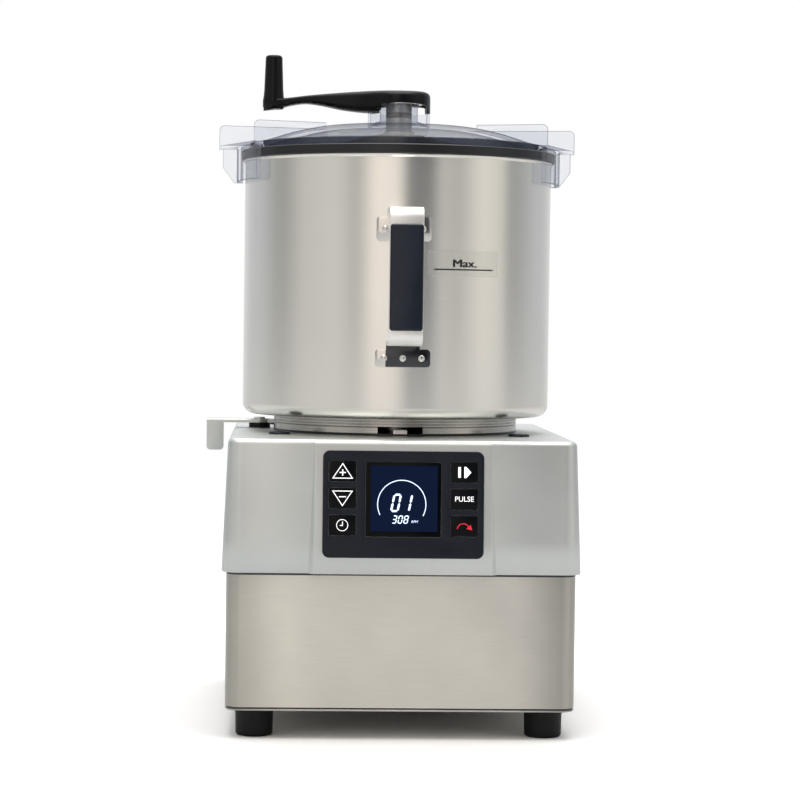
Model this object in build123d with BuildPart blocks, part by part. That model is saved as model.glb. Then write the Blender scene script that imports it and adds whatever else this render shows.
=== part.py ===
"""Tabletop cutter emulsifier: base, lift-out bowl, knives, clear lid and wiper crank. Millimetres, +Z up.

The origin is on the drive axis, on the surface that the feet stand on. The front faces -Y.
"""
from build123d import *
import os
from math import atan2, cos, degrees, radians, sin

os.makedirs("parts", exist_ok=True)

# Gaps
running_gap = 0.05      # radial gap of a shaft in its bearing
sliding_gap = 0.3       # between pieces that move past each other
window_gap = 0.25       # round a piece that drops into a window

# Feet
foot_height = 21.0
foot_radius = 14.6
foot_taper = 0.9
foot_round = 2.5
foot_side_inset = 21.5
foot_front_inset = 24.5
foot_back_inset = 26.5
foot_screw_radius = 3.0
foot_screw_head = 5.5
foot_recess = 12.0

# Lower body
body_width = 257.0
body_front = -157.5
body_back = 167.5
body_corner = 12.0
body_wall = 1.5
body_floor = foot_height
body_top = 140.0
body_flange = 38.0
bottom_plate_lap = 10.0
bottom_plate_thick = 1.5
vent_length = 60.0
vent_width = 4.0
vent_pitch = 10.0
vent_rows = 8
rear_vent_z = 75.0
gland_radius = 9.0
gland_bore = 4.0
gland_inset = 43.5
gland_rise = 29.0
gland_length = 14.0

# Upper cover
cover_overhang = 3.5
cover_bottom = 123.0
cover_top = 220.0
cover_draft = 4.0
cover_corner = 14.0
cover_bend = 5.0
cover_wall = 2.0
cover_bore = 36.0

# Panel boss on the cover's front, and what sits in it
boss_margin = 5.75
boss_proud_bottom = 5.0
boss_proud_top = 0.4
boss_top = 216.0
panel_width = 117.5
panel_height = 78.0
panel_corner = 5.0
panel_thick = 2.2
fascia_edge = 0.6
panel_centre_z = 173.0
panel_cut_side = 2.75
panel_cut_end = 4.0
key_width = 19.7
key_height = 15.0
key_corner = 1.2
key_edge = 0.3
key_inset = 4.5
key_pitch = 19.6
key_middle_z = 177.3
key_proud = 0.2
key_lip = 1.0
key_lip_thick = 0.8
key_travel = 0.8
screen_width = 54.9
screen_height = 54.4
screen_z = 176.8
screen_thick = 1.8
lit_width = 48.7
lit_height = 50.9
board_margin = 3.0
board_thick = 1.6
board_gap = 3.6
standoff_radius = 2.5
standoff_gap = 2.05

# Bowl seat on top of the cover
seat_side_gap = 33.0      # from the seat ring to the body's side
seat_wall = 6.0
seat_height = 6.5
seat_floor = 1.5
seat_notch = 34.0
pin_width = 11.0
pin_height = 3.3
pin_depth = 6.0
bush_radius = 33.0
bush_height = 9.0
seal_radius = 15.0
seal_height = 4.0
plug_radius = 8.2
plug_thick = 2.0
plug_edge = 0.7
plug_inset = 10.75        # inward from midway between the motor plate's side and the body's side
plug_front_y = -80.0
plug_back_y = 96.0
plug_stem_radius = 3.5
plug_stem_length = 8.0

# Lock lever
lever_side_inset = 21.5
lever_y = 35.0
lever_spacer_radius = 8.5
lever_spacer_height = 4.0
lever_thick = 3.0
lever_width = 16.0
lever_overhang = 20.5
tab_width = 13.5
tab_drop = 22.0
tab_corner = 3.0
lever_screw_radius = 3.0
lever_head_radius = 4.5
lever_head_height = 1.3
nose_gap = 0.4
nose_width = 8.0

# Motor
motor_plate_size = 150.0
motor_plate_thick = 8.0
motor_plate_corner = 12.0
housing_radius = 66.0
housing_wall = 5.0
housing_bottom = 62.0
stator_inner = 36.0
stator_height = 62.0
rotor_radius = 35.4
rotor_height = 66.0
stator_z = 98.0
bearing_radius = 23.5
bearing_height = 14.0
end_shield_thick = 10.0
shaft_radius = 10.0
shaft_bottom = 36.0
fan_radius = 50.0
fan_hub_radius = 16.0
fan_thick = 1.5
fan_height = 14.0
fan_z = 38.0
fan_blades = 8
drive_board_width = 110.0
drive_board_depth = 30.0
drive_board_height = 60.0

# Bowl
bowl_radius = 120.0
bowl_wall = 1.5
bowl_bottom = 233.0
bowl_rim_top = 432.5
bowl_bottom_round = 9.0
rim_bead = 2.0
chimney_inner = 18.0
chimney_wall = 1.5
chimney_top = 320.0
foot_ring_groove = 0.6
foot_ring_wall = 10.0

# Bowl handle
handle_width = 25.0
handle_top = 390.0
handle_bottom = 288.5
handle_reach = 46.0
handle_bend = 9.0
strap_thick = 3.0
grip_width = 23.0
grip_thick = 5.0
grip_edge = 1.8
grip_top = 377.0
grip_bottom = 299.6
handle_plate_width = 41.0
handle_plate_thick = 1.5
upper_plate_bottom = 366.0
upper_plate_top = 384.0
lower_plate_bottom = 272.5
lower_plate_top = 288.5
rivet_radius = 2.6
rivet_height = 1.2
rivet_pitch = 14.0

# Knives
knife_hub_wall = 4.0
knife_hub_bottom = 239.0
knife_hub_gap = 1.5
knife_flange = 6.0
knife_flange_height = 5.0
knife_thick = 2.5
knife_bowl_gap = 10.5
knife_root_inset = 2.0
knife_root = 30.0
knife_tip = 12.0
knife_spacer_height = 36.0
knife_clamp_height = 16.0
knife_head_height = 18.0
knife_head_round = 8.0
shaft_hex = 16.0
hex_length = 14.0
hex_gap = 0.1
shaft_top = 336.0

# Lid
seal_gap = 0.3
lid_seal_height = 4.2
lid_seal_inset = 1.2
lid_seal_edge = 0.4
lid_seal_width = 9.0
lid_inset = 3.0
lid_wall = 4.0
lid_rim_height = 6.5
dome_inset = 25.0
dome_height = 7.0
crown_inset = 59.0
crown_height = 14.5
neck_radius = 15.0
neck_top = 477.5
collar_radius = 19.0
collar_height = 3.5
collar_steps = 3
bush_outer = 10.15
bush_flange = 12.5
bush_flange_height = 2.0
crank_shaft_radius = 6.0
ring_z = 465.5
ring_height = 4.5
ring_depth = 1.6

# Lid wings
wing_front_y = -50.0
wing_back_y = 21.0
wing_front_inset = 7.0
wing_back_reach = 21.0
wing_inner_inset = 62.0
wing_plate_thick = 3.0
wing_fin_thick = 3.0
fin_top = 459.5
fin_fall = 1.5
fin_corner = 4.0
skirt_gap = 1.8
skirt_thick = 3.0
skirt_bottom = 414.0
skirt_front_angle = -30.0
skirt_slope = 12.0

# Crank
crank_hub_radius = 24.65
crank_hub_bottom = 472.8
crank_hub_top = 489.3
crank_inset = 21.5
arm_sections = (
    (0.142, 473.2, 488.4, 34.0),
    (0.467, 473.9, 487.6, 24.0),
    (0.711, 478.0, 484.0, 17.0),
    (1.0, 472.4, 479.8, 14.0),
)
arm_round = 0.3
hub_edge = 2.0
shaft_grip = 6.5
grip_low_radius = 8.0
grip_high_radius = 6.6
grip_low_z = 472.0
grip_high_z = 517.5
grip_round = 2.0
guard_wall = 2.0
guard_bottom = 460.6
window_left = -11.0
window_right = 20.0
window_rise = 6.7

# Wipers
wiper_hub_radius = 17.0
wiper_hub_height = 12.0
wiper_arm_width = 14.0
wiper_arm_thick = 6.0
wiper_arm_top = 430.5
wiper_bottom = 306.0
wiper_gap = 1.2
wiper_blade_thick = 3.0
wiper_blade_reach = 7.0

# Worked-out places
body_side = body_width / 2
foot_x = body_side - foot_side_inset
foot_front_y = body_front + foot_front_inset
foot_back_y = body_back - foot_back_inset
gland_x = body_side - gland_inset
gland_z = body_floor + gland_rise
seat_radius = body_side - seat_side_gap
lever_x = -(body_side - lever_side_inset)
lever_outer_x = -(body_side + lever_overhang)
boss_half_width = panel_width / 2 + boss_margin
panel_cut_width = panel_width - 2 * panel_cut_side
panel_cut_height = panel_height - 2 * panel_cut_end
board_width = panel_cut_width - 2 * board_margin
board_height = panel_cut_height - 2 * board_margin
key_x = panel_width / 2 - key_inset - key_width / 2
standoff_x = screen_width / 2 + standoff_gap
plug_x = (motor_plate_size / 2 + body_side) / 2 - plug_inset
knife_reach = bowl_radius - bowl_wall - knife_bowl_gap
lid_seal_radius = bowl_radius - lid_seal_inset
lid_radius = bowl_radius - lid_inset
dome_radius = lid_radius - dome_inset
crown_radius = lid_radius - crown_inset
wing_front_x = bowl_radius - wing_front_inset
wing_back_x = bowl_radius + wing_back_reach
wing_inner_x = bowl_radius - wing_inner_inset
crank_length = bowl_radius - crank_inset
body_depth = body_back - body_front
body_mid_y = (body_back + body_front) / 2
cover_height = cover_top - cover_bottom
draft_angle = degrees(atan2(cover_draft, cover_height))
cover_front = body_front - cover_overhang
cover_under = cover_top - cover_wall


def front_at(z):
    """Y of the cover's drafted front face at height z."""
    return cover_front + cover_draft * (z - cover_bottom) / cover_height


boss_bottom_y = front_at(cover_bottom) - boss_proud_bottom
boss_top_y = front_at(boss_top) - boss_proud_top
panel_tilt = atan2(boss_top_y - boss_bottom_y, boss_top - cover_bottom)


def boss_y(z):
    """Y of the panel boss's sloping face at height z."""
    return boss_bottom_y + (z - cover_bottom) * (boss_top_y - boss_bottom_y) / (boss_top - cover_bottom)


def panel_up(z):
    """Distance up the panel plane from its centre to height z."""
    return (z - panel_centre_z) / cos(panel_tilt)


panel_face = Plane(
    origin=(0, boss_y(panel_centre_z), panel_centre_z), x_dir=(1, 0, 0), z_dir=(0, -cos(panel_tilt), sin(panel_tilt))
)
panel_out = Axis(panel_face.origin, panel_face.z_dir)
key_places = {
    "key_up": (-key_x, panel_up(key_middle_z) + key_pitch),
    "key_down": (-key_x, panel_up(key_middle_z)),
    "key_timer": (-key_x, panel_up(key_middle_z) - key_pitch),
    "key_start": (key_x, panel_up(key_middle_z) + key_pitch),
    "key_pulse": (key_x, panel_up(key_middle_z)),
    "key_reverse": (key_x, panel_up(key_middle_z) - key_pitch),
}
foot_places = {
    "foot_front_left": (-foot_x, foot_front_y),
    "foot_front_right": (foot_x, foot_front_y),
    "foot_back_left": (-foot_x, foot_back_y),
    "foot_back_right": (foot_x, foot_back_y),
}
plug_places = {
    "plug_front_left": (-plug_x, plug_front_y),
    "plug_front_right": (plug_x, plug_front_y),
    "plug_back_left": (-plug_x, plug_back_y),
    "plug_back_right": (plug_x, plug_back_y),
}


def save(part, name):
    """Name a finished piece and write it as one file."""
    part.label = name
    export_step(part, f"parts/{name}.step")


# Rubber feet, each with a recess for its screw
for name, (x, y) in foot_places.items():
    with BuildPart(Plane.XY.offset(0)) as foot:
        with BuildSketch(Plane.XZ) as foot_profile:
            with BuildLine():
                Polyline(
                    (0, 0),
                    (foot_radius - foot_taper, 0),
                    (foot_radius, foot_height),
                    (0, foot_height),
                    close=True,
                )
            make_face()
        revolve(axis=Axis.Z)
        fillet(foot.edges().filter_by(GeomType.CIRCLE).sort_by(Axis.Z)[0], foot_round)
        with Locations((0, 0, 0)):
            Cylinder(foot_screw_head, foot_recess, align=(Align.CENTER, Align.CENTER, Align.MIN), mode=Mode.SUBTRACT)
            Cylinder(foot_screw_radius, foot_height, align=(Align.CENTER, Align.CENTER, Align.MIN), mode=Mode.SUBTRACT)
    save(foot.part.moved(Location((x, y, 0))), name)

# Screws that hold the feet, one solid each
with BuildPart() as foot_screws:
    with Locations(*[(x, y, foot_recess) for x, y in foot_places.values()]):
        Cylinder(
            foot_screw_radius,
            foot_height - foot_recess + body_wall + bottom_plate_thick,
            align=(Align.CENTER, Align.CENTER, Align.MIN),
        )
    with Locations(*[(x, y, foot_recess) for x, y in foot_places.values()]):
        Cylinder(foot_screw_head - sliding_gap, foot_screw_radius, align=(Align.CENTER, Align.CENTER, Align.MAX))
save(foot_screws.part, "foot_screws")

# Lower body: an open box with a return flange round its floor
with BuildPart() as lower_body:
    with BuildSketch(Plane.XY.offset(body_floor)):
        with Locations((0, body_mid_y)):
            RectangleRounded(body_width, body_depth, body_corner)
    extrude(amount=body_top - body_floor)
    with BuildSketch(Plane.XY.offset(body_floor + body_wall)):
        with Locations((0, body_mid_y)):
            RectangleRounded(body_width - 2 * body_wall, body_depth - 2 * body_wall, body_corner - body_wall)
    extrude(amount=body_top - body_floor, mode=Mode.SUBTRACT)
    with BuildSketch(Plane.XY.offset(body_floor)):
        with Locations((0, body_mid_y)):
            RectangleRounded(body_width - 2 * body_flange, body_depth - 2 * body_flange, body_corner)
    extrude(amount=body_wall, mode=Mode.SUBTRACT)
    with BuildSketch(Plane.XY.offset(body_floor)):
        with Locations(*foot_places.values()):
            Circle(foot_screw_radius)
    extrude(amount=body_wall, mode=Mode.SUBTRACT)
    with BuildSketch(Plane.XZ.offset(-body_back)):
        with Locations((0, rear_vent_z)):
            with GridLocations(1, vent_pitch, 1, vent_rows):
                SlotOverall(vent_length, vent_width)
        with Locations((gland_x, gland_z)):
            Circle(gland_radius)
    extrude(amount=body_wall, both=True, mode=Mode.SUBTRACT)
save(lower_body.part, "lower_body")

# Bottom plate that closes the floor, with its cooling slots
with BuildPart() as bottom_plate:
    with BuildSketch(Plane.XY.offset(body_floor + body_wall)):
        with Locations((0, body_mid_y)):
            RectangleRounded(
                body_width - 2 * (body_flange - bottom_plate_lap),
                body_depth - 2 * (body_flange - bottom_plate_lap),
                body_corner,
            )
            with GridLocations(vent_length + vent_pitch, vent_pitch, 2, vent_rows):
                SlotOverall(vent_length, vent_width, mode=Mode.SUBTRACT)
    extrude(amount=bottom_plate_thick)
save(bottom_plate.part, "bottom_plate")

# Cable gland in the rear wall, with its empty bore
with BuildPart() as cable_gland:
    with BuildSketch(Plane.XZ.offset(-body_back)):
        with Locations((gland_x, gland_z)):
            RegularPolygon(gland_radius + 3, 6)
    extrude(amount=-5)
    with BuildSketch(Plane.XZ.offset(-body_back - 5)):
        with Locations((gland_x, gland_z)):
            Circle(gland_radius - 1)
    extrude(amount=-9, taper=6)
    with BuildSketch(Plane.XZ.offset(-body_back)):
        with Locations((gland_x, gland_z)):
            Circle(gland_radius - window_gap)
    extrude(amount=body_wall + 6)
    with BuildSketch(Plane.XZ.offset(-body_back - gland_length)):
        with Locations((gland_x, gland_z)):
            Circle(gland_bore)
    extrude(amount=30, mode=Mode.SUBTRACT)
save(cable_gland.part, "cable_gland")

# Upper cover: a drafted pressing, open below, with the sloping boss that carries the panel
with BuildPart() as upper_cover:
    with BuildSketch(Plane.XY.offset(cover_bottom)):
        with Locations((0, body_mid_y)):
            RectangleRounded(body_width + 2 * cover_overhang, body_depth + 2 * cover_overhang, cover_corner)
    extrude(amount=cover_height, taper=draft_angle)
    fillet(upper_cover.edges().group_by(Axis.Z)[-1], cover_bend)
    for z, depth in ((cover_bottom, boss_proud_bottom), (boss_top, boss_proud_top)):
        with BuildSketch(Plane.XY.offset(z)):
            with BuildLine():
                Polyline(
                    (-boss_half_width - depth, front_at(z)),
                    (-boss_half_width, front_at(z) - depth),
                    (boss_half_width, front_at(z) - depth),
                    (boss_half_width + depth, front_at(z)),
                    (boss_half_width + depth, front_at(z) + cover_wall / 2),
                    (-boss_half_width - depth, front_at(z) + cover_wall / 2),
                    close=True,
                )
            make_face()
    loft(ruled=True)
    with BuildSketch(Plane.XY.offset(cover_bottom)):
        with Locations((0, body_mid_y)):
            RectangleRounded(
                body_width + 2 * (cover_overhang - cover_wall),
                body_depth + 2 * (cover_overhang - cover_wall),
                cover_corner - cover_wall,
            )
    extrude(amount=cover_height - cover_wall, taper=draft_angle, mode=Mode.SUBTRACT)
    with BuildSketch(panel_face):
        Rectangle(panel_cut_width, panel_cut_height)
    extrude(amount=20, both=True, mode=Mode.SUBTRACT)
    with Locations((0, 0, cover_top)):
        Hole(cover_bore, 2 * cover_wall)
    with Locations(*[(x, y, cover_top) for x, y in plug_places.values()]):
        Hole(plug_stem_radius + window_gap, 2 * cover_wall)
    with Locations((lever_x, lever_y, cover_top)):
        Hole(lever_screw_radius, 2 * cover_wall)
save(upper_cover.part, "upper_cover")

# Panel fascia: a flat moulding on the boss, with windows for the keys and the screen
screen_up = panel_up(screen_z)
with BuildPart() as panel_fascia:
    with BuildSketch(panel_face):
        RectangleRounded(panel_width, panel_height, panel_corner)
        with Locations(*key_places.values()):
            RectangleRounded(
                key_width + 2 * window_gap, key_height + 2 * window_gap, key_corner + window_gap, mode=Mode.SUBTRACT
            )
        with Locations((0, screen_up)):
            Rectangle(screen_width + 2 * window_gap, screen_height + 2 * window_gap, mode=Mode.SUBTRACT)
    extrude(amount=panel_thick)
    fillet(panel_fascia.faces().sort_by(panel_out)[-1].outer_wire().edges(), fascia_edge)
    with BuildSketch(panel_face):
        with GridLocations(2 * standoff_x, board_height - 3 * standoff_radius, 2, 2):
            Circle(standoff_radius)
    extrude(amount=-board_gap)
save(panel_fascia.part, "panel_fascia")

# Screen window, flush in the fascia
with BuildPart() as display_window:
    with BuildSketch(panel_face.offset(panel_thick - screen_thick)):
        with Locations((0, screen_up)):
            Rectangle(screen_width, screen_height)
    extrude(amount=screen_thick - key_proud)
save(display_window.part, "display_window")

# Display module behind the window
with BuildPart() as display_module:
    with BuildSketch(panel_face.offset(panel_thick - screen_thick)):
        with Locations((0, screen_up)):
            Rectangle(lit_width, lit_height)
    extrude(amount=-(board_gap + panel_thick - screen_thick))
save(display_module.part, "display_module")

# Control board on the fascia's standoffs
with BuildPart() as control_board:
    with BuildSketch(panel_face.offset(-board_gap)):
        Rectangle(board_width, board_height)
    extrude(amount=-board_thick)
    with BuildSketch(panel_face.offset(-board_gap)):
        with Locations(*key_places.values()):
            Circle(standoff_radius)
    extrude(amount=board_gap - key_lip_thick - key_travel - window_gap)
save(control_board.part, "control_board")

# Six keys, each with a lip behind the fascia that keeps it in
for name, place in key_places.items():
    with BuildPart() as key:
        with BuildSketch(panel_face):
            with Locations(place):
                RectangleRounded(key_width, key_height, key_corner)
        extrude(amount=panel_thick + key_proud)
        with BuildSketch(panel_face.offset(-window_gap)):
            with Locations(place):
                Rectangle(key_width + 2 * key_lip, key_height + 2 * key_lip)
        extrude(amount=-key_lip_thick)
        with BuildSketch(panel_face.offset(-window_gap)):
            with Locations(place):
                Rectangle(key_width, key_height)
        extrude(amount=window_gap)
        fillet(key.faces().sort_by(panel_out)[-1].edges(), key_edge)
    save(key.part, name)

# Seat ring that the bowl stands on, notched at the front round the locating pin
seat_top = cover_top + seat_height
with BuildPart() as bowl_seat_ring:
    with BuildSketch(Plane.XY.offset(cover_top)):
        Circle(seat_radius)
        Circle(bush_radius, mode=Mode.SUBTRACT)
    extrude(amount=seat_floor)
    with BuildSketch(Plane.XY.offset(cover_top + seat_floor)):
        Circle(seat_radius)
        Circle(seat_radius - seat_wall, mode=Mode.SUBTRACT)
    extrude(amount=seat_height - seat_floor)
    with BuildSketch(Plane.XY.offset(cover_top + seat_floor)):
        with Locations((0, -seat_radius)):
            Rectangle(seat_notch, 3 * seat_wall)
    extrude(amount=seat_height, mode=Mode.SUBTRACT)
save(bowl_seat_ring.part, "bowl_seat_ring")

# Locating pin in the notch
pin_z = cover_top + seat_floor
with BuildPart() as locating_pin:
    with BuildSketch(Plane.XY.offset(pin_z)):
        with Locations((0, -seat_radius + seat_wall / 2)):
            RectangleRounded(pin_width, pin_depth, 1.5)
    extrude(amount=pin_height)
    chamfer(locating_pin.edges().group_by(Axis.Z)[-1], 0.5)
save(locating_pin.part, "locating_pin")

# Cast bush round the shaft, and the lip seal in its top
bush_top = cover_top + bush_height
with BuildPart() as seat_bush:
    with BuildSketch(Plane.XY.offset(cover_top)):
        Circle(bush_radius)
    extrude(amount=bush_height)
    chamfer(seat_bush.edges().group_by(Axis.Z)[-1], 2)
    with BuildSketch(Plane.XY.offset(cover_under)):
        Circle(cover_bore)
    extrude(amount=cover_wall)
    with BuildSketch(Plane.XY.offset(cover_under)):
        Circle(shaft_radius + sliding_gap)
    extrude(amount=cover_wall + bush_height, mode=Mode.SUBTRACT)
    with BuildSketch(Plane.XY.offset(bush_top - seal_height)):
        Circle(seal_radius)
    extrude(amount=seal_height, mode=Mode.SUBTRACT)
save(seat_bush.part, "seat_bush")

with BuildPart() as shaft_seal:
    with BuildSketch(Plane.XY.offset(bush_top - seal_height)):
        Circle(seal_radius)
        Circle(shaft_radius + running_gap, mode=Mode.SUBTRACT)
    extrude(amount=seal_height + 0.6)
    chamfer(shaft_seal.edges().group_by(Axis.Z)[-1].sort_by(SortBy.LENGTH)[-1], 1)
save(shaft_seal.part, "shaft_seal")

# Black plugs in the cover's top
for name, (x, y) in plug_places.items():
    with BuildPart() as plug:
        with Locations((x, y, cover_top)):
            Cylinder(plug_radius, plug_thick, align=(Align.CENTER, Align.CENTER, Align.MIN))
        fillet(plug.edges().group_by(Axis.Z)[-1], plug_edge)
        with Locations((x, y, cover_top)):
            Cylinder(plug_stem_radius, plug_stem_length, align=(Align.CENTER, Align.CENTER, Align.MAX))
        with BuildSketch(Plane.XY.offset(cover_top + plug_thick)):
            with Locations((x, y)):
                RegularPolygon(plug_stem_radius, 6)
        extrude(amount=-1.2, mode=Mode.SUBTRACT)
    save(plug.part, name)

# Lock lever on its spacer: a flat arm with a grip tab bent down and a nose that reaches into the bowl's foot
lever_z = cover_top + lever_spacer_height
with BuildPart() as lever_spacer:
    with BuildSketch(Plane.XY.offset(cover_top)):
        with Locations((lever_x, lever_y)):
            Circle(lever_spacer_radius)
            Circle(lever_screw_radius, mode=Mode.SUBTRACT)
    extrude(amount=lever_spacer_height - sliding_gap / 3)
save(lever_spacer.part, "lever_spacer")

lever_top = lever_z + lever_thick
pivot_radius = (lever_x**2 + lever_y**2) ** 0.5
nose_length = pivot_radius - seat_radius - nose_gap
nose_angle = degrees(atan2(-lever_y, -lever_x))
with BuildPart() as lock_lever:
    with BuildSketch(Plane.XY.offset(lever_z)):
        with Locations((lever_x, lever_y)):
            Circle(lever_width / 2 + 1)
        with Locations(Location((lever_x, lever_y, 0), (0, 0, nose_angle))):
            RectangleRounded(2 * nose_length, nose_width, 1)
            with Locations((-nose_length, 0)):
                Rectangle(2 * nose_length, 2 * nose_width, mode=Mode.SUBTRACT)
        with BuildLine():
            Polyline(
                (lever_x, lever_y - lever_width / 2),
                (lever_x, lever_y + lever_width / 2),
                (lever_outer_x, lever_y + lever_width / 2),
                (lever_outer_x, lever_y - lever_width / 2),
                close=True,
            )
        make_face()
    extrude(amount=lever_thick)
    with BuildSketch(Plane.XZ.offset(-(lever_y - lever_width / 2))):
        with BuildLine():
            Polyline(
                (lever_outer_x, lever_top),
                (lever_outer_x, lever_z - tab_drop),
                (lever_outer_x + tab_width, lever_z - tab_drop),
                (lever_outer_x + tab_width, lever_top),
                close=True,
            )
        make_face()
    extrude(amount=-lever_thick)
    fillet(lock_lever.edges().filter_by(Axis.Y).group_by(Axis.Z)[0], tab_corner)
    fillet(
        lock_lever.edges().filter_by(Axis.X).group_by(Axis.Z)[-1].sort_by(Axis.Y)[0],
        lever_thick / 2,
    )
    with Locations((lever_x, lever_y, lever_top)):
        Hole(lever_screw_radius + running_gap, lever_thick)
save(lock_lever.part, "lock_lever")

with BuildPart() as lever_screw:
    with BuildSketch(Plane.XY.offset(cover_under - 4)):
        with Locations((lever_x, lever_y)):
            Circle(lever_screw_radius)
    extrude(amount=lever_top + sliding_gap / 3 - cover_under + 4)
    with BuildSketch(Plane.XY.offset(lever_top + sliding_gap / 3)):
        with Locations((lever_x, lever_y)):
            Circle(lever_head_radius)
    extrude(amount=lever_head_height)
    chamfer(lever_screw.edges().group_by(Axis.Z)[-1], 0.4)
save(lever_screw.part, "lever_screw")

# Motor under the cover: flange plate, housing, stator, end shield and bearings
plate_bottom = cover_under - motor_plate_thick
with BuildPart() as motor_plate:
    with BuildSketch(Plane.XY.offset(plate_bottom)):
        RectangleRounded(motor_plate_size, motor_plate_size, motor_plate_corner)
        Circle(bearing_radius, mode=Mode.SUBTRACT)
    extrude(amount=motor_plate_thick)
save(motor_plate.part, "motor_plate")

with BuildPart() as motor_housing:
    with BuildSketch(Plane.XY.offset(housing_bottom)):
        Circle(housing_radius)
        Circle(housing_radius - housing_wall, mode=Mode.SUBTRACT)
    extrude(amount=plate_bottom - housing_bottom)
save(motor_housing.part, "motor_housing")

with BuildPart() as stator:
    with BuildSketch(Plane.XY.offset(stator_z)):
        Circle(housing_radius - housing_wall)
        Circle(stator_inner, mode=Mode.SUBTRACT)
    extrude(amount=stator_height)
save(stator.part, "stator")

with BuildPart() as end_shield:
    with BuildSketch(Plane.XY.offset(housing_bottom)):
        Circle(housing_radius - housing_wall)
        Circle(bearing_radius, mode=Mode.SUBTRACT)
    extrude(amount=end_shield_thick)
save(end_shield.part, "end_shield")

for name, z in (("upper_bearing", cover_under - bearing_height), ("lower_bearing", housing_bottom)):
    with BuildPart() as bearing:
        with BuildSketch(Plane.XY.offset(z)):
            Circle(bearing_radius)
            Circle(shaft_radius + running_gap, mode=Mode.SUBTRACT)
        extrude(amount=bearing_height)
        chamfer(bearing.edges().group_by(Axis.Z)[-1], 0.6)
    save(bearing.part, name)

# Rotor, shaft and cooling fan turn together
rotor_z = stator_z + (stator_height - rotor_height) / 2
with BuildPart() as rotor_core:
    with BuildSketch(Plane.XY.offset(rotor_z)):
        Circle(rotor_radius)
        Circle(shaft_radius, mode=Mode.SUBTRACT)
    extrude(amount=rotor_height)
save(rotor_core.part, "rotor_core")

with BuildPart() as motor_shaft:
    with BuildSketch(Plane.XY.offset(shaft_bottom)):
        Circle(shaft_radius)
    extrude(amount=shaft_top - hex_length - shaft_bottom)
    with BuildSketch(Plane.XY.offset(shaft_top - hex_length)):
        RegularPolygon(shaft_hex / 2, 6, major_radius=False)
    extrude(amount=hex_length)
    chamfer(motor_shaft.edges().group_by(Axis.Z)[-1], 1)
save(motor_shaft.part, "motor_shaft")

with BuildPart() as cooling_fan:
    with BuildSketch(Plane.XY.offset(fan_z)):
        Circle(fan_radius)
    extrude(amount=fan_thick)
    with BuildSketch(Plane.XY.offset(fan_z)):
        Circle(fan_hub_radius)
    extrude(amount=fan_height)
    with BuildSketch(Plane.XY.offset(fan_z)):
        with PolarLocations((fan_radius + fan_hub_radius) / 2 - fan_thick, fan_blades):
            Rectangle(fan_radius - fan_hub_radius, fan_thick)
    extrude(amount=fan_height)
    with BuildSketch(Plane.XY.offset(fan_z)):
        Circle(shaft_radius)
    extrude(amount=fan_height, mode=Mode.SUBTRACT)
save(cooling_fan.part, "cooling_fan")

# Drive electronics on a plate beside the rear wall
with BuildPart() as drive_board:
    with BuildSketch(Plane.XY.offset(body_floor + body_wall + bottom_plate_thick)):
        with Locations((0, body_back - 2 * body_flange)):
            Rectangle(drive_board_width, drive_board_depth)
    extrude(amount=drive_board_height)
save(drive_board.part, "drive_board")

# Bowl: one spun shell with a rolled rim and a chimney that the shaft passes up through
bowl_floor = bowl_bottom + bowl_wall
bowl_inner = bowl_radius - bowl_wall
chimney_outer = chimney_inner + chimney_wall
rim_z = bowl_rim_top - rim_bead
with BuildPart() as bowl:
    with BuildSketch(Plane.XZ):
        with BuildLine():
            wall_line = FilletPolyline(
                (bowl_inner, rim_z),
                (bowl_inner, bowl_floor),
                (chimney_outer, bowl_floor),
                (chimney_outer, chimney_top),
                radius=bowl_bottom_round - bowl_wall,
            )
            Line(wall_line @ 1, (chimney_inner, chimney_top))
            under_line = FilletPolyline(
                (chimney_inner, chimney_top),
                (chimney_inner, bowl_bottom),
                (bowl_radius, bowl_bottom),
                (bowl_radius, rim_z),
                radius=bowl_bottom_round,
            )
            Line(under_line @ 1, wall_line @ 0)
        make_face()
        with Locations((bowl_inner + rim_bead / 2, rim_z)):
            Circle(rim_bead)
    revolve(axis=Axis.Z)
save(bowl.part, "bowl")

# Foot ring under the bowl, grooved and notched like the seat
with BuildPart() as bowl_foot_ring:
    with BuildSketch(Plane.XY.offset(seat_top)):
        Circle(seat_radius)
        Circle(seat_radius - foot_ring_wall, mode=Mode.SUBTRACT)
    extrude(amount=bowl_bottom - seat_top)
    with BuildSketch(Plane.XZ):
        for share in (1 / 3, 2 / 3):
            with Locations((seat_radius, seat_top + share * (bowl_bottom - seat_top))):
                Circle(foot_ring_groove)
    revolve(axis=Axis.Z, mode=Mode.SUBTRACT)
save(bowl_foot_ring.part, "bowl_foot_ring")

# Handle: a bent strap between two plates that are riveted to the bowl
plate_radius = bowl_radius + handle_plate_thick
handle_front = -(bowl_radius + handle_reach)
with BuildPart() as handle_strap:
    with BuildSketch(Plane.YZ):
        with BuildLine():
            outer_line = FilletPolyline(
                (-bowl_radius, handle_top),
                (handle_front, handle_top),
                (handle_front, handle_bottom),
                (-bowl_radius, handle_bottom),
                radius=handle_bend,
            )
            Line(outer_line @ 1, (-bowl_radius, handle_bottom + strap_thick))
            inner_line = FilletPolyline(
                (-bowl_radius, handle_bottom + strap_thick),
                (handle_front + strap_thick, handle_bottom + strap_thick),
                (handle_front + strap_thick, handle_top - strap_thick),
                (-bowl_radius, handle_top - strap_thick),
                radius=handle_bend - strap_thick,
            )
            Line(inner_line @ 1, outer_line @ 0)
        make_face()
    extrude(amount=handle_width / 2, both=True)
    with BuildSketch(Plane.XY.offset(handle_bottom)):
        Circle(plate_radius)
    extrude(amount=handle_top - handle_bottom, mode=Mode.SUBTRACT)
save(handle_strap.part, "handle_strap")

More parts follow.
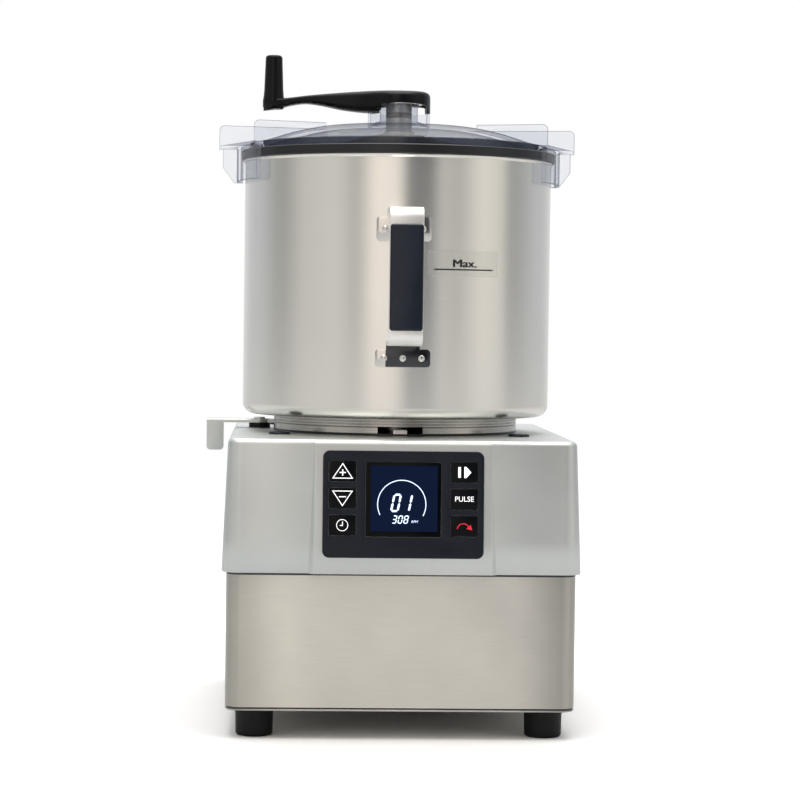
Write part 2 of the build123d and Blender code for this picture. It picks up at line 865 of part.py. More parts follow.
with BuildPart() as handle_grip:
    with BuildSketch(Plane.XZ.offset(-handle_front)):
        with Locations((0, (grip_top + grip_bottom) / 2)):
            RectangleRounded(grip_width, grip_top - grip_bottom, 1)
    extrude(amount=grip_thick)
    fillet(handle_grip.faces().sort_by(Axis.Y)[0].edges(), grip_edge)
save(handle_grip.part, "handle_grip")

plate_shapes = (
    (upper_plate_bottom, upper_plate_top, handle_top),
    (lower_plate_bottom, lower_plate_top - strap_thick, lower_plate_top + strap_thick),
)
rivet_planes = []
for low, high, _ in plate_shapes:
    for step in (-1, 0, 1):
        turn = step * degrees(atan2(rivet_pitch, bowl_radius))
        out = Vector(0, -1, 0).rotate(Axis.Z, turn)
        rivet_planes.append(Plane(origin=out * bowl_radius + Vector(0, 0, (low + high) / 2), x_dir=(0, 0, 1), z_dir=out))
with BuildPart() as handle_plates:
    for low, high, neck in plate_shapes:
        with BuildSketch(Plane.XZ.offset(bowl_radius - handle_plate_width / 4)):
            with Locations((0, (low + high) / 2)):
                RectangleRounded(handle_plate_width, high - low, 2)
            with Locations((0, (low + neck) / 2)):
                Rectangle(handle_width, neck - low)
        extrude(amount=handle_plate_width / 2)
    with BuildSketch(Plane.XY.offset(lower_plate_bottom)):
        Circle(plate_radius)
    extrude(amount=handle_top - lower_plate_bottom, mode=Mode.INTERSECT)
    with BuildSketch(Plane.XY.offset(lower_plate_bottom)):
        Circle(bowl_radius)
    extrude(amount=handle_top - lower_plate_bottom, mode=Mode.SUBTRACT)
    with BuildSketch(*rivet_planes):
        Circle(rivet_radius)
    extrude(amount=rivet_height + handle_plate_thick, mode=Mode.SUBTRACT)
save(handle_plates.part, "handle_plates")

with BuildPart() as handle_rivets:
    with BuildSketch(*rivet_planes):
        Circle(rivet_radius)
    extrude(amount=rivet_height + handle_plate_thick)
    fillet(handle_rivets.edges().filter_by(GeomType.CIRCLE).filter_by(lambda e: e.center().Y < -plate_radius - 0.1), 0.5)
save(handle_rivets.part, "handle_rivets")

# Knives: a sleeve over the chimney, driven by the shaft's hexagon, with two pairs of blades
sleeve_inner = chimney_outer + knife_hub_gap
sleeve_outer = sleeve_inner + knife_hub_wall
stack_radius = sleeve_outer + knife_flange
hex_bottom = shaft_top - hex_length
with BuildPart() as knife_hub:
    with BuildSketch(Plane.XY.offset(knife_hub_bottom)):
        Circle(stack_radius)
    extrude(amount=knife_flange_height)
    with BuildSketch(Plane.XY.offset(knife_hub_bottom)):
        Circle(sleeve_outer)
    extrude(amount=shaft_top + knife_hub_wall - knife_hub_bottom)
    with BuildSketch(Plane.XY.offset(knife_hub_bottom)):
        Circle(sleeve_inner)
    extrude(amount=hex_bottom - knife_hub_bottom, mode=Mode.SUBTRACT)
    with BuildSketch(Plane.XY.offset(hex_bottom)):
        RegularPolygon(shaft_hex / 2 + hex_gap, 6, major_radius=False)
    extrude(amount=hex_length + sliding_gap, mode=Mode.SUBTRACT)
    fillet(knife_hub.edges().group_by(Axis.Z)[0].sort_by(SortBy.LENGTH)[-1], 1)
save(knife_hub.part, "knife_hub")

lower_knife_z = knife_hub_bottom + knife_flange_height
upper_knife_z = lower_knife_z + knife_thick + knife_spacer_height
for name, z, turn in (("lower_knife", lower_knife_z, 0), ("upper_knife", upper_knife_z, 90)):
    with BuildPart() as knife:
        with BuildSketch(Plane.XY.offset(z)):
            with BuildLine():
                root = stack_radius - knife_root_inset
                edge = ThreePointArc((0, root), (knife_reach * 0.55, knife_root * 0.75), (knife_reach, -knife_root / 2))
                tip = Line(edge @ 1, (knife_reach - knife_tip * 0.6, -knife_root / 2 - knife_tip))
                ThreePointArc(tip @ 1, (knife_reach * 0.5, -knife_root * 0.42), (0, -root))
                Line((0, -root), (0, root))
            make_face()
        extrude(amount=knife_thick)
        mirrored = knife.part.rotate(Axis.Z, 180)
        add(mirrored)
        with BuildSketch(Plane.XY.offset(z)):
            Circle(stack_radius)
        extrude(amount=knife_thick)
        with BuildSketch(Plane.XY.offset(z)):
            Circle(sleeve_outer)
        extrude(amount=knife_thick, mode=Mode.SUBTRACT)
    save(knife.part.rotate(Axis.Z, turn), name)

with BuildPart() as knife_spacer:
    with BuildSketch(Plane.XY.offset(lower_knife_z + knife_thick)):
        Circle(stack_radius)
        Circle(sleeve_outer, mode=Mode.SUBTRACT)
    extrude(amount=knife_spacer_height)
save(knife_spacer.part, "knife_spacer")

# Clamping cap over the sleeve, fluted for the fingers
cap_bottom = upper_knife_z + knife_thick
cap_top = shaft_top + knife_hub_wall + knife_head_height / 2
with BuildPart() as knife_cap:
    with BuildSketch(Plane.XY.offset(cap_bottom)):
        Circle(stack_radius)
    extrude(amount=cap_top - cap_bottom, taper=2)
    fillet(knife_cap.edges().group_by(Axis.Z)[-1], knife_head_round)
    with BuildSketch(Plane.XY.offset(cap_bottom)):
        Circle(sleeve_outer)
    extrude(amount=shaft_top + knife_hub_wall - cap_bottom, mode=Mode.SUBTRACT)
    with BuildSketch(Plane.XY.offset(cap_bottom + knife_clamp_height)):
        with PolarLocations(stack_radius + 3, 6):
            Circle(6)
    extrude(amount=cap_top, mode=Mode.SUBTRACT)
save(knife_cap.part, "knife_cap")

# Lid seal, lying just above the bowl's rim
seal_bottom = bowl_rim_top + seal_gap
with BuildPart() as lid_seal:
    with BuildSketch(Plane.XY.offset(seal_bottom)):
        Circle(lid_seal_radius)
        Circle(lid_seal_radius - lid_seal_width, mode=Mode.SUBTRACT)
    extrude(amount=lid_seal_height)
    fillet(lid_seal.edges().sort_by(SortBy.LENGTH)[-2:], lid_seal_edge)
save(lid_seal.part, "lid_seal")

# Clear lid: a domed disc with a stepped neck, and a finned wing at each side
lid_bottom = seal_bottom + lid_seal_height
lid_rim_top = lid_bottom + lid_rim_height
crown_top = lid_bottom + lid_rim_height + crown_height
lid_inner = lid_radius - lid_seal_width
bush_radius_outer = bush_outer + running_gap
with BuildPart() as lid_cover:
    with BuildSketch(Plane.XZ):
        with BuildLine():
            dome = Spline(
                (lid_radius, lid_rim_top),
                (dome_radius, lid_rim_top + dome_height),
                (crown_radius, crown_top),
                (collar_radius + collar_steps, crown_top + 1),
                tangents=((-1, 0.15), (-1, 0)),
            )
            Polyline(dome @ 1, (0, crown_top + 1), (0, lid_bottom), (lid_radius, lid_bottom), dome @ 0)
        make_face()
        with BuildLine():
            Polyline((0, crown_top), (neck_radius, crown_top), (neck_radius, neck_top), (0, neck_top), close=True)
        make_face()
    revolve(axis=Axis.Z)
    for step in range(collar_steps):
        with BuildSketch(Plane.XY.offset(crown_top)):
            Circle(collar_radius + collar_steps - 2 * step)
        extrude(amount=collar_height * (step + 1) / collar_steps + 1)
    fillet(lid_cover.edges().group_by(Axis.Z)[-1], 0.8)
    for side in (-1, 1):
        with BuildSketch(Plane.XY.offset(lid_rim_top - wing_plate_thick)):
            with BuildLine():
                Polyline(
                    (side * wing_inner_x, wing_front_y),
                    (side * wing_front_x, wing_front_y),
                    (side * wing_back_x, wing_back_y),
                    (side * wing_inner_x, wing_back_y),
                    close=True,
                )
            make_face()
        extrude(amount=wing_plate_thick)
        for y, reach, thick in (
            (wing_front_y, wing_front_x, wing_fin_thick),
            (wing_back_y, wing_back_x, -wing_fin_thick),
        ):
            with BuildSketch(Plane.XZ.offset(-y)) as fin:
                with BuildLine():
                    Polyline(
                        (side * wing_inner_x, lid_rim_top - wing_plate_thick),
                        (side * wing_inner_x, fin_top - fin_fall),
                        (side * reach, fin_top),
                        (side * reach, lid_rim_top - wing_plate_thick),
                        close=True,
                    )
                make_face()
                fillet(fin.vertices().sort_by(lambda v, s=side: s * v.X + v.Y)[-1], fin_corner)
            extrude(amount=-thick)
        with BuildSketch(Plane.XY.offset(lid_rim_top - wing_plate_thick)):
            with BuildLine():
                skirt_radius = bowl_radius + rim_bead + skirt_gap
                Polyline(
                    (side * skirt_radius * cos(radians(skirt_front_angle)), skirt_radius * sin(radians(skirt_front_angle))),
                    (side * 2 * bowl_radius, skirt_radius * sin(radians(skirt_front_angle))),
                    (side * 2 * bowl_radius, wing_back_y),
                    (side * bowl_radius, wing_back_y),
                    close=True,
                )
            make_face()
            Circle(skirt_radius + skirt_thick, mode=Mode.INTERSECT)
            Circle(skirt_radius, mode=Mode.SUBTRACT)
        extrude(amount=skirt_bottom - lid_rim_top + wing_plate_thick)
        with BuildSketch(Plane.XZ.offset(-wing_back_y)):
            with BuildLine():
                Polyline(
                    (side * skirt_radius, lid_rim_top - wing_plate_thick),
                    (side * (wing_back_x - skirt_thick), lid_rim_top - wing_plate_thick),
                    (side * (wing_back_x - skirt_thick), skirt_bottom + skirt_slope),
                    (side * (wing_back_x - skirt_slope), skirt_bottom),
                    (side * skirt_radius, skirt_bottom),
                    close=True,
                )
            make_face()
        extrude(amount=skirt_thick)
    with BuildSketch(Plane.XZ):
        with BuildLine():
            vault = Spline(
                (lid_inner, lid_bottom),
                (dome_radius - lid_wall / 2, lid_rim_top + dome_height - lid_wall),
                (crown_radius, crown_top - lid_wall),
                (collar_radius + collar_steps, crown_top + 1 - lid_wall),
                tangents=((-0.5, 1), (-1, 0)),
            )
            Polyline(vault @ 1, (0, crown_top + 1 - lid_wall), (0, lid_bottom - 1), (lid_inner, lid_bottom - 1), vault @ 0)
        make_face()
    revolve(axis=Axis.Z, mode=Mode.SUBTRACT)
    with BuildSketch(Plane.XY.offset(lid_bottom)):
        Circle(bush_radius_outer)
    extrude(amount=neck_top, mode=Mode.SUBTRACT)
save(lid_cover.part, "lid_cover")

# Steel bush in the lid's neck, flanged below, with an o-ring in its groove
bush_bottom = crown_top + 1 - lid_wall - sliding_gap
with BuildPart() as lid_bush:
    with BuildSketch(Plane.XY.offset(bush_bottom - bush_flange_height)):
        Circle(bush_flange)
    extrude(amount=bush_flange_height)
    with BuildSketch(Plane.XY.offset(bush_bottom)):
        Circle(bush_outer)
    extrude(amount=neck_top - bush_bottom)
    with BuildSketch(Plane.XY.offset(ring_z)):
        Circle(bush_outer)
        Circle(bush_outer - ring_depth, mode=Mode.SUBTRACT)
    extrude(amount=ring_height, mode=Mode.SUBTRACT)
    with BuildSketch(Plane.XY.offset(bush_bottom - bush_flange_height)):
        Circle(crank_shaft_radius + running_gap)
    extrude(amount=neck_top, mode=Mode.SUBTRACT)
    chamfer(lid_bush.edges().group_by(Axis.Z)[-1].sort_by(SortBy.LENGTH)[-1], 0.6)
save(lid_bush.part, "lid_bush")

with BuildPart() as bush_ring:
    with BuildSketch(Plane.XY.offset(ring_z)):
        Circle(bush_outer)
        Circle(bush_outer - ring_depth, mode=Mode.SUBTRACT)
    extrude(amount=ring_height)
save(bush_ring.part, "bush_ring")

# Crank: hollow hub cap, twisted arm and upright grip in one moulding, open at the front of the hub
window_top = crank_hub_bottom + window_rise
with BuildPart() as crank_arm:
    with BuildSketch(Plane.XY.offset(crank_hub_bottom)):
        Circle(crank_hub_radius)
    extrude(amount=crank_hub_top - crank_hub_bottom)
    fillet(crank_arm.edges().group_by(Axis.Z)[-1], hub_edge)
    for share, low, high, width in arm_sections:
        with BuildSketch(Plane.YZ.offset(-crank_length * share)):
            with Locations((0, (low + high) / 2)):
                RectangleRounded(width, high - low, (high - low) * arm_round)
    loft()
    with BuildSketch(Plane.XY.offset(grip_low_z)):
        with Locations((-crank_length, 0)):
            Circle(grip_low_radius)
    with BuildSketch(Plane.XY.offset(grip_high_z)):
        with Locations((-crank_length, 0)):
            Circle(grip_high_radius)
    loft()
    fillet(crank_arm.edges().group_by(Axis.Z)[-1], grip_round)
    with BuildSketch(Plane.XY.offset(guard_bottom)):
        Circle(crank_hub_radius)
    extrude(amount=crank_hub_bottom - guard_bottom, mode=Mode.SUBTRACT)
    with BuildSketch(Plane.XY.offset(crank_hub_bottom)):
        Circle(crank_hub_radius - guard_wall)
        with Locations(((window_left + window_right) / 2, -crank_hub_radius)):
            Rectangle(window_right - window_left, crank_hub_radius)
    extrude(amount=window_rise, mode=Mode.SUBTRACT)
    with BuildSketch(Plane.XY.offset(window_top)):
        Circle(crank_shaft_radius)
    extrude(amount=shaft_grip, mode=Mode.SUBTRACT)
save(crank_arm.part, "crank_arm")

# Clear guard that hangs from the hub, with the same window
with BuildPart() as crank_guard:
    with BuildSketch(Plane.XY.offset(guard_bottom)):
        Circle(crank_hub_radius)
        Circle(crank_hub_radius - guard_wall, mode=Mode.SUBTRACT)
    extrude(amount=crank_hub_bottom - guard_bottom)
    with BuildSketch(Plane.XY.offset(guard_bottom)):
        with Locations(((window_left + window_right) / 2, -crank_hub_radius)):
            Rectangle(window_right - window_left, crank_hub_radius)
    extrude(amount=crank_hub_bottom - guard_bottom, mode=Mode.SUBTRACT)
save(crank_guard.part, "crank_guard")

# Shaft from the crank down through the bush to the wiper frame
wiper_top = bush_bottom - bush_flange_height - sliding_gap
with BuildPart() as crank_shaft:
    with BuildSketch(Plane.XY.offset(wiper_top - wiper_hub_height)):
        Circle(crank_shaft_radius)
    extrude(amount=window_top + shaft_grip - wiper_top + wiper_hub_height)
save(crank_shaft.part, "crank_shaft")

# Wiper frame with two legs, each holding a soft blade against the bowl's wall
leg_outer = bowl_inner - wiper_gap - wiper_blade_reach / 2
leg_inner = leg_outer - wiper_arm_thick
with BuildPart() as wiper_frame:
    with BuildSketch(Plane.XY.offset(wiper_top - wiper_hub_height)):
        Circle(wiper_hub_radius)
    extrude(amount=wiper_hub_height)
    with BuildSketch(Plane.XZ) as frame_side:
        with BuildLine():
            Polyline(
                (-leg_outer, wiper_bottom),
                (-leg_outer, wiper_arm_top),
                (-wiper_hub_radius, wiper_top),
                (wiper_hub_radius, wiper_top),
                (leg_outer, wiper_arm_top),
                (leg_outer, wiper_bottom),
                (leg_inner, wiper_bottom),
                (leg_inner, wiper_arm_top - wiper_arm_thick),
                (wiper_hub_radius, wiper_top - wiper_hub_height),
                (-wiper_hub_radius, wiper_top - wiper_hub_height),
                (-leg_inner, wiper_arm_top - wiper_arm_thick),
                (-leg_inner, wiper_bottom),
                close=True,
            )
        make_face()
    extrude(amount=wiper_arm_width / 2, both=True)
    fillet(wiper_frame.edges().filter_by(Axis.Y).group_by(Axis.X)[0].sort_by(Axis.Z)[-1], 4)
    fillet(wiper_frame.edges().filter_by(Axis.Y).group_by(Axis.X)[-1].sort_by(Axis.Z)[-1], 4)
    with BuildSketch(Plane.XY.offset(wiper_top - wiper_hub_height)):
        Circle(crank_shaft_radius)
    extrude(amount=wiper_hub_height, mode=Mode.SUBTRACT)
    with BuildSketch(Plane.XY.offset(wiper_bottom)):
        with PolarLocations(leg_outer, 2):
            Rectangle(wiper_blade_reach, wiper_blade_thick)
    extrude(amount=wiper_arm_top - wiper_arm_thick - wiper_bottom, mode=Mode.SUBTRACT)
save(wiper_frame.part, "wiper_frame")

with BuildPart() as wiper_blades:
    with BuildSketch(Plane.XY.offset(wiper_bottom)):
        with PolarLocations(leg_outer, 2):
            Rectangle(wiper_blade_reach, wiper_blade_thick)
    extrude(amount=wiper_arm_top - wiper_arm_thick - wiper_bottom)
save(wiper_blades.part, "wiper_blades")
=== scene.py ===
"""Tabletop cutter emulsifier in a plain studio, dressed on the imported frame.

Lengths are metres in the frame of the solids: the drive axis is Z, the front faces -Y and the feet stand
on Z = 0.
"""
from __future__ import annotations

import logging
import math
from dataclasses import dataclass
from enum import Enum
from functools import partial
from typing import Callable, Iterable, Sequence

import bmesh
import bpy
from mathutils import Matrix, Vector

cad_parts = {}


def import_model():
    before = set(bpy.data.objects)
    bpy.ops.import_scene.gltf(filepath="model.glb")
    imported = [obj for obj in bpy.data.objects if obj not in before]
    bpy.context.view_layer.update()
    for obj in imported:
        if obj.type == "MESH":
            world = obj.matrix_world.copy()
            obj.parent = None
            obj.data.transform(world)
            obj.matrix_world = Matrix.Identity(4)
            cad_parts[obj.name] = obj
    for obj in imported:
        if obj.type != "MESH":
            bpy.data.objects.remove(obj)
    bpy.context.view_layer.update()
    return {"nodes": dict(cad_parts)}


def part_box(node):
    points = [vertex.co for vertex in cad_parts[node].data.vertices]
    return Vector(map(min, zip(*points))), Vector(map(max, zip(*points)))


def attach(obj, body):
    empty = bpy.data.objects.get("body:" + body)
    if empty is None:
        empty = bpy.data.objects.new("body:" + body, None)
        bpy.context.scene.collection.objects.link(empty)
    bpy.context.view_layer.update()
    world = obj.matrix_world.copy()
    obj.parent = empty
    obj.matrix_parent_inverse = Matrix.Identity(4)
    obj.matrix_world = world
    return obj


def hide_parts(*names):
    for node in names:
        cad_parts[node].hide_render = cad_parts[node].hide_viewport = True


LOG = logging.getLogger("cutter")
MM = 0.001
SMOOTH_ANGLE = 35.0
ON_AXIS = 1e-7
STRIP = 2 * MM
Point = tuple[float, float]
Spot = tuple[float, float, float]
Outline = list[Point]
Placing = Callable[[float, float, float], Spot]
Piece = bpy.types.Object
Material = bpy.types.Material
Node = bpy.types.Node
Face = bpy.types.MeshPolygon
Pick = Callable[[Face], int]


class Body(Enum):
    """The rigid bodies that the pieces ride on."""

    BASE = "base"
    LEVER = "lever"
    BOWL = "bowl"
    LID_CORE = "lid_core"
    LID = "lid"
    CRANK = "crank"
    KEY_UP = "key_up"
    KEY_DOWN = "key_down"
    KEY_TIMER = "key_timer"
    KEY_START = "key_start"
    KEY_PULSE = "key_pulse"
    KEY_REVERSE = "key_reverse"


class Grain(Enum):
    """The way the polishing lines of a metal run."""

    ALONG_X = "along_x"
    ROUND_AXIS = "round_axis"
    CLOUDY = "cloudy"


def linear(code: str) -> tuple[float, float, float, float]:
    """Turns an sRGB hex colour into Blender's linear colour.

    Args:
        code: Six hex digits after a hash.

    Returns:
        Red, green, blue and full opacity.
    """
    channels = [int(code[i : i + 2], 16) / 255 for i in (1, 3, 5)]
    red, green, blue = (c / 12.92 if c <= 0.04045 else ((c + 0.055) / 1.055) ** 2.4 for c in channels)
    return red, green, blue, 1.0


def add_node(tree: bpy.types.NodeTree, kind: str, links: dict | None = None, **settings: object) -> Node:
    """Adds one node to a tree.

    Args:
        tree: The tree that gets the node.
        kind: The node's type name.
        links: Inputs by name or index. A node gives its first output, a socket is linked, the rest is set.
        settings: Attributes of the node by name.

    Returns:
        The new node.
    """
    node = tree.nodes.new(kind)
    for name, value in settings.items():
        setattr(node, name, value)
    for key, value in (links or {}).items():
        source = value.outputs[0] if isinstance(value, Node) else value
        if isinstance(source, bpy.types.NodeSocket):
            tree.links.new(source, node.inputs[key])
        else:
            node.inputs[key].default_value = source
    return node


def new_material(name: str) -> tuple[Material, Callable[..., Node], bpy.types.NodeSocket]:
    """Starts a node material.

    Args:
        name: The material's name.

    Returns:
        The material, add_node for its tree, and its object coordinates.
    """
    material = bpy.data.materials.new(name)
    material.use_nodes = True
    material.node_tree.nodes.clear()
    add = partial(add_node, material.node_tree)
    return material, add, add("ShaderNodeTexCoord").outputs["Object"]


def textured(
    add: Callable[..., Node],
    colour: str,
    ranges: Sequence[tuple[Node, float, float, float]],
    relief: tuple[Node, float, float],
    more: dict[str, object],
    fades: Sequence[Node] = (),
) -> None:
    """Ends a material in a surface whose gloss, tone and relief follow noise.

    Args:
        add: add_node for the material's tree.
        colour: The surface's mean colour.
        ranges: Noises, their reach round a half, and the mean and half range to make: gloss, then tones.
        relief: The noise that is the relief, its strength and its depth.
        more: Further inputs of the surface.
        fades: Further factors on the colour.
    """
    factors = []
    for noise, reach, mean, half in ranges:
        ends = {"From Min": 0.5 - reach, "From Max": 0.5 + reach, "To Min": mean - half, "To Max": mean + half}
        factors.append(add("ShaderNodeMapRange", {"Value": noise, **ends}))
    shade = linear(colour)[:3]
    for factor in (*factors[1:], *fades):
        shade = add("ShaderNodeVectorMath", {0: shade, "Scale": factor}, operation="SCALE")
    height, strength, depth = relief
    bump = add("ShaderNodeBump", {"Height": height, "Strength": strength, "Distance": depth})
    inputs = {"Base Color": shade, "Roughness": factors[0], "Normal": bump, **more}
    add("ShaderNodeOutputMaterial", {0: add("ShaderNodeBsdfPrincipled", inputs)})


@dataclass(frozen=True)
class StainlessSteel:
    """Stainless sheet, belt-ground: fine lines of uneven gloss that stretch each reflection across them."""

    name: str
    colour: str
    grain: Grain
    roughness: float = 0.3
    roughness_spread: float = 0.1
    line_pitch: float = 0.35 * MM
    line_length: float = 60 * MM
    bump: float = 0.12
    tone_spread: float = 0.05
    anisotropy: float = 0.0
    half_width: float = 0.0
    side_start: float = 0.62
    side_tone: float = 0.6
    metres_per_radian: float = 0.12

    def make(self) -> Material:
        """Builds the steel's material."""
        material, add, place = new_material(self.name)
        across, along = 1 / self.line_pitch, 1 / self.line_length
        if self.grain is Grain.ROUND_AXIS:
            parts = add("ShaderNodeSeparateXYZ", {0: place})
            turn = add("ShaderNodeMath", {0: parts.outputs[1], 1: parts.outputs[0]}, operation="ARCTAN2")
            way = add("ShaderNodeMath", {0: turn, 1: self.metres_per_radian}, operation="MULTIPLY")
            place = add("ShaderNodeCombineXYZ", {0: way, 2: parts.outputs[2]}).outputs[0]
        stretch = (across / 2,) * 3 if self.grain is Grain.CLOUDY else (along, across, across)
        mapped = add("ShaderNodeMapping", {"Vector": place, "Scale": stretch})
        lines = add("ShaderNodeTexNoise", {"Vector": mapped, "Scale": 1.0, "Detail": 5.0, "Roughness": 0.65})
        broad = add("ShaderNodeTexNoise", {"Vector": place, "Scale": 14.0, "Detail": 2.0, "Roughness": 0.5})
        tone = self.tone_spread
        gloss = (lines, 0.25, self.roughness, self.roughness_spread)
        ranges = [gloss, (broad, 0.2, 1, tone), (lines, 0.25, 1, tone)]
        more = {"Metallic": 1.0, "Anisotropic": self.anisotropy}
        if self.anisotropy:
            tangent = add("ShaderNodeTangent", direction_type="RADIAL", axis="Z")
            more |= {"Tangent": tangent, "Anisotropic Rotation": 0.25}
        fades = []
        if self.half_width:
            out = add("ShaderNodeMath", {0: add("ShaderNodeSeparateXYZ", {0: place})}, operation="ABSOLUTE")
            ends = {"From Min": self.half_width * self.side_start, "From Max": self.half_width}
            ends |= {"To Min": 1.0, "To Max": self.side_tone}
            fades = [add("ShaderNodeMapRange", {"Value": out, **ends}, interpolation_type="SMOOTHSTEP")]
        textured(add, self.colour, ranges, (lines, self.bump, 0.05 * MM), more, fades)
        return material


@dataclass(frozen=True)
class MouldedPlastic:
    """Opaque moulded plastic or rubber: one colour, with a fine eroded texture that breaks up its gloss."""

    name: str
    colour: str
    roughness: float = 0.4
    texture_size: float = 0.5 * MM
    bump: float = 0.15
    ior: float = 1.5
    tone_spread: float = 0.12

    def make(self) -> Material:
        """Builds the plastic's material."""
        material, add, place = new_material(self.name)
        size = 1 / self.texture_size
        pits = add("ShaderNodeTexNoise", {"Vector": place, "Scale": size, "Detail": 3.0, "Roughness": 0.6})
        wear = add("ShaderNodeTexNoise", {"Vector": place, "Scale": 35.0, "Detail": 3.0})
        ranges = [(wear, 0.2, self.roughness, 0.15 * self.roughness), (wear, 0.2, 1, self.tone_spread)]
        textured(add, self.colour, ranges, (pits, self.bump, 0.1 * MM), {"IOR": self.ior})
        return material


@dataclass(frozen=True)
class ClearPolycarbonate:
    """Moulded polycarbonate: clear face on, lavender-grey edge on, with a sharp gloss and slow waves in it."""

    name: str
    face_tint: str = "#F7F8FA"
    edge_tint: str = "#39405E"
    roughness: float = 0.05
    gloss: float = 0.18
    haze: float = 0.02
    wave_size: float = 22 * MM
    bump: float = 0.05

    def make(self) -> Material:
        """Builds the clear plastic's material as a thin sheet, without refraction."""
        material, add, place = new_material(self.name)
        waves = add("ShaderNodeTexNoise", {"Vector": place, "Scale": 1 / self.wave_size, "Detail": 1.0})
        relief = add("ShaderNodeBump", {"Height": waves, "Strength": self.bump, "Distance": 1 * MM})
        scuffs = add("ShaderNodeTexNoise", {"Vector": place, "Scale": 90.0, "Detail": 6.0, "Roughness": 0.7})
        ends = {"To Min": self.roughness * 0.5, "To Max": self.roughness * 2}
        blur = add("ShaderNodeMapRange", {"Value": scuffs, **ends})
        slant = add("ShaderNodeLayerWeight", {"Blend": 0.5, "Normal": relief}).outputs["Facing"]
        edge = add("ShaderNodeMath", {0: slant, 1: 12.0}, operation="POWER")
        tints = {0: edge, 6: linear(self.face_tint), 7: linear(self.edge_tint)}
        tint = add("ShaderNodeMix", tints, data_type="RGBA")
        clear = add("ShaderNodeBsdfTransparent", {"Color": tint.outputs[2]})
        shine = add("ShaderNodeBsdfAnisotropic", {"Roughness": blur, "Normal": relief})
        rise = add("ShaderNodeMath", {0: slant, 1: 5.0}, operation="POWER")
        share = add("ShaderNodeMapRange", {"Value": rise, "To Min": 0.03, "To Max": self.gloss})
        mixed = add("ShaderNodeMixShader", {0: share, 1: clear, 2: shine})
        veil = add("ShaderNodeBsdfDiffuse", {"Color": linear("#F4F6FA")})
        hazy = add("ShaderNodeMixShader", {0: self.haze, 1: mixed, 2: veil})
        add("ShaderNodeOutputMaterial", {0: hazy})
        return material


@dataclass(frozen=True)
class LitPrint:
    """Backlit ink or a lit display: a colour that gives its own light, a little uneven like a light guide."""

    name: str
    colour: str
    strength: float = 1.0
    roughness: float = 0.4
    ior: float = 1.45

    def make(self) -> Material:
        """Builds the lit material."""
        material, add, place = new_material(self.name)
        cloud = add("ShaderNodeTexNoise", {"Vector": place, "Scale": 60.0, "Detail": 1.0})
        ends = {"To Min": self.strength * 0.85, "To Max": self.strength * 1.15}
        light = add("ShaderNodeMapRange", {"Value": cloud, **ends})
        colour = linear(self.colour)
        inputs = {"Base Color": colour, "Roughness": self.roughness, "IOR": self.ior}
        inputs |= {"Emission Color": colour, "Emission Strength": light}
        add("ShaderNodeOutputMaterial", {0: add("ShaderNodeBsdfPrincipled", inputs)})
        return material


def make_finishes() -> dict[str, Material]:
    """Builds every finish of the machine once.

    Returns:
        The materials by name.
    """
    steel, plastic, clear, lit = StainlessSteel, MouldedPlastic, ClearPolycarbonate, LitPrint
    along, spun, cloudy = Grain.ALONG_X, Grain.ROUND_AXIS, Grain.CLOUDY
    brushed = {"line_pitch": 0.5 * MM, "line_length": 26 * MM, "tone_spread": 0.06, "half_width": 128 * MM}
    specs = (
        # Warm grey sheet with short level scratches, darker towards its sides
        steel("brushed_sheet", "#E2DFD6", along, 0.36, 0.1, anisotropy=0.7, **brushed),
        # Cooler and duller than the sheet below it, with no lines to see
        steel("satin_pressing", "#D3D6D4", cloudy, 0.42, 0.05, bump=0.08),
        # Upright streaks of mirrored room, from the polishing that runs round it
        steel("spun_bowl", "#EAE8E2", spun, 0.25, 0.03, bump=0.02, tone_spread=0.015, anisotropy=0.8),
        # Turned and bright fittings, and one that only mirrors the dark side of the room
        steel("turned_ring", "#B9B7B2", spun, 0.25, 0.06),
        steel("polished_fitting", "#DAD8D4", along, 0.14, 0.04, bump=0.04),
        steel("shaded_fitting", "#4C4D50", along, 0.2, 0.05, bump=0.04),
        steel("satin_strap", "#F6F5F2", along, 0.42, 0.05, bump=0.03),
        steel("ground_blade", "#CFCFCF", along, 0.2, 0.05),
        steel("cast_aluminium", "#A9A9AA", cloudy, 0.5, 0.08),
        # Black rubbers and nylons, told apart by their gloss
        plastic("foot_rubber", "#07080A", 0.5, bump=0.2, ior=1.36),
        plastic("seal_rubber", "#0B0D12", 0.35),
        plastic("crank_nylon", "#07080D", 0.3, ior=1.3),
        plastic("grip_nylon", "#171D28", 0.25, bump=0.05, ior=1.36),
        # Blue-black films of the panel, whose keys and screen are darker still
        plastic("fascia_film", "#141922", 0.4, bump=0.08, ior=1.3),
        plastic("key_film", "#04060A", 0.35, bump=0.06, ior=1.22),
        plastic("screen_mask", "#020306", 0.2, bump=0.0, ior=1.2),
        plastic("label_ink", "#17181C", 0.45, bump=0.0),
        # What lies inside: food-grade white, laminated iron and a green board
        plastic("food_grade_plastic", "#D9D9D4", 0.4),
        plastic("laminated_iron", "#3A3A3C", 0.5, ior=2.0),
        plastic("board_laminate", "#1B4A2C", 0.4),
        # Signs and segments that glow through the films
        lit("screen_backlight", "#061026", 0.65, 0.3, 1.15),
        lit("white_backlit_ink", "#E9EBEE", 0.75),
        lit("screen_segments", "#CFE0FF", 1.0),
        lit("red_backlit_ink", "#C3202A", 0.6),
        # The clear lid, dark over its seal, milky at its neck and grey along its edges
        clear("lid_polycarbonate"),
        clear("lid_rim_over_seal", "#383E4C", "#16191F", haze=0.01),
        clear("lid_neck", "#EEF0F4", "#4A5068", haze=0.16),
        clear("lid_edges", "#777C98", "#20263C", haze=0.0),
        clear("label_film", "#FDFDFC", "#D8D8D8", 0.3, 0.1, 0.05, bump=0.0),
    )
    return {spec.name: spec.make() for spec in specs}


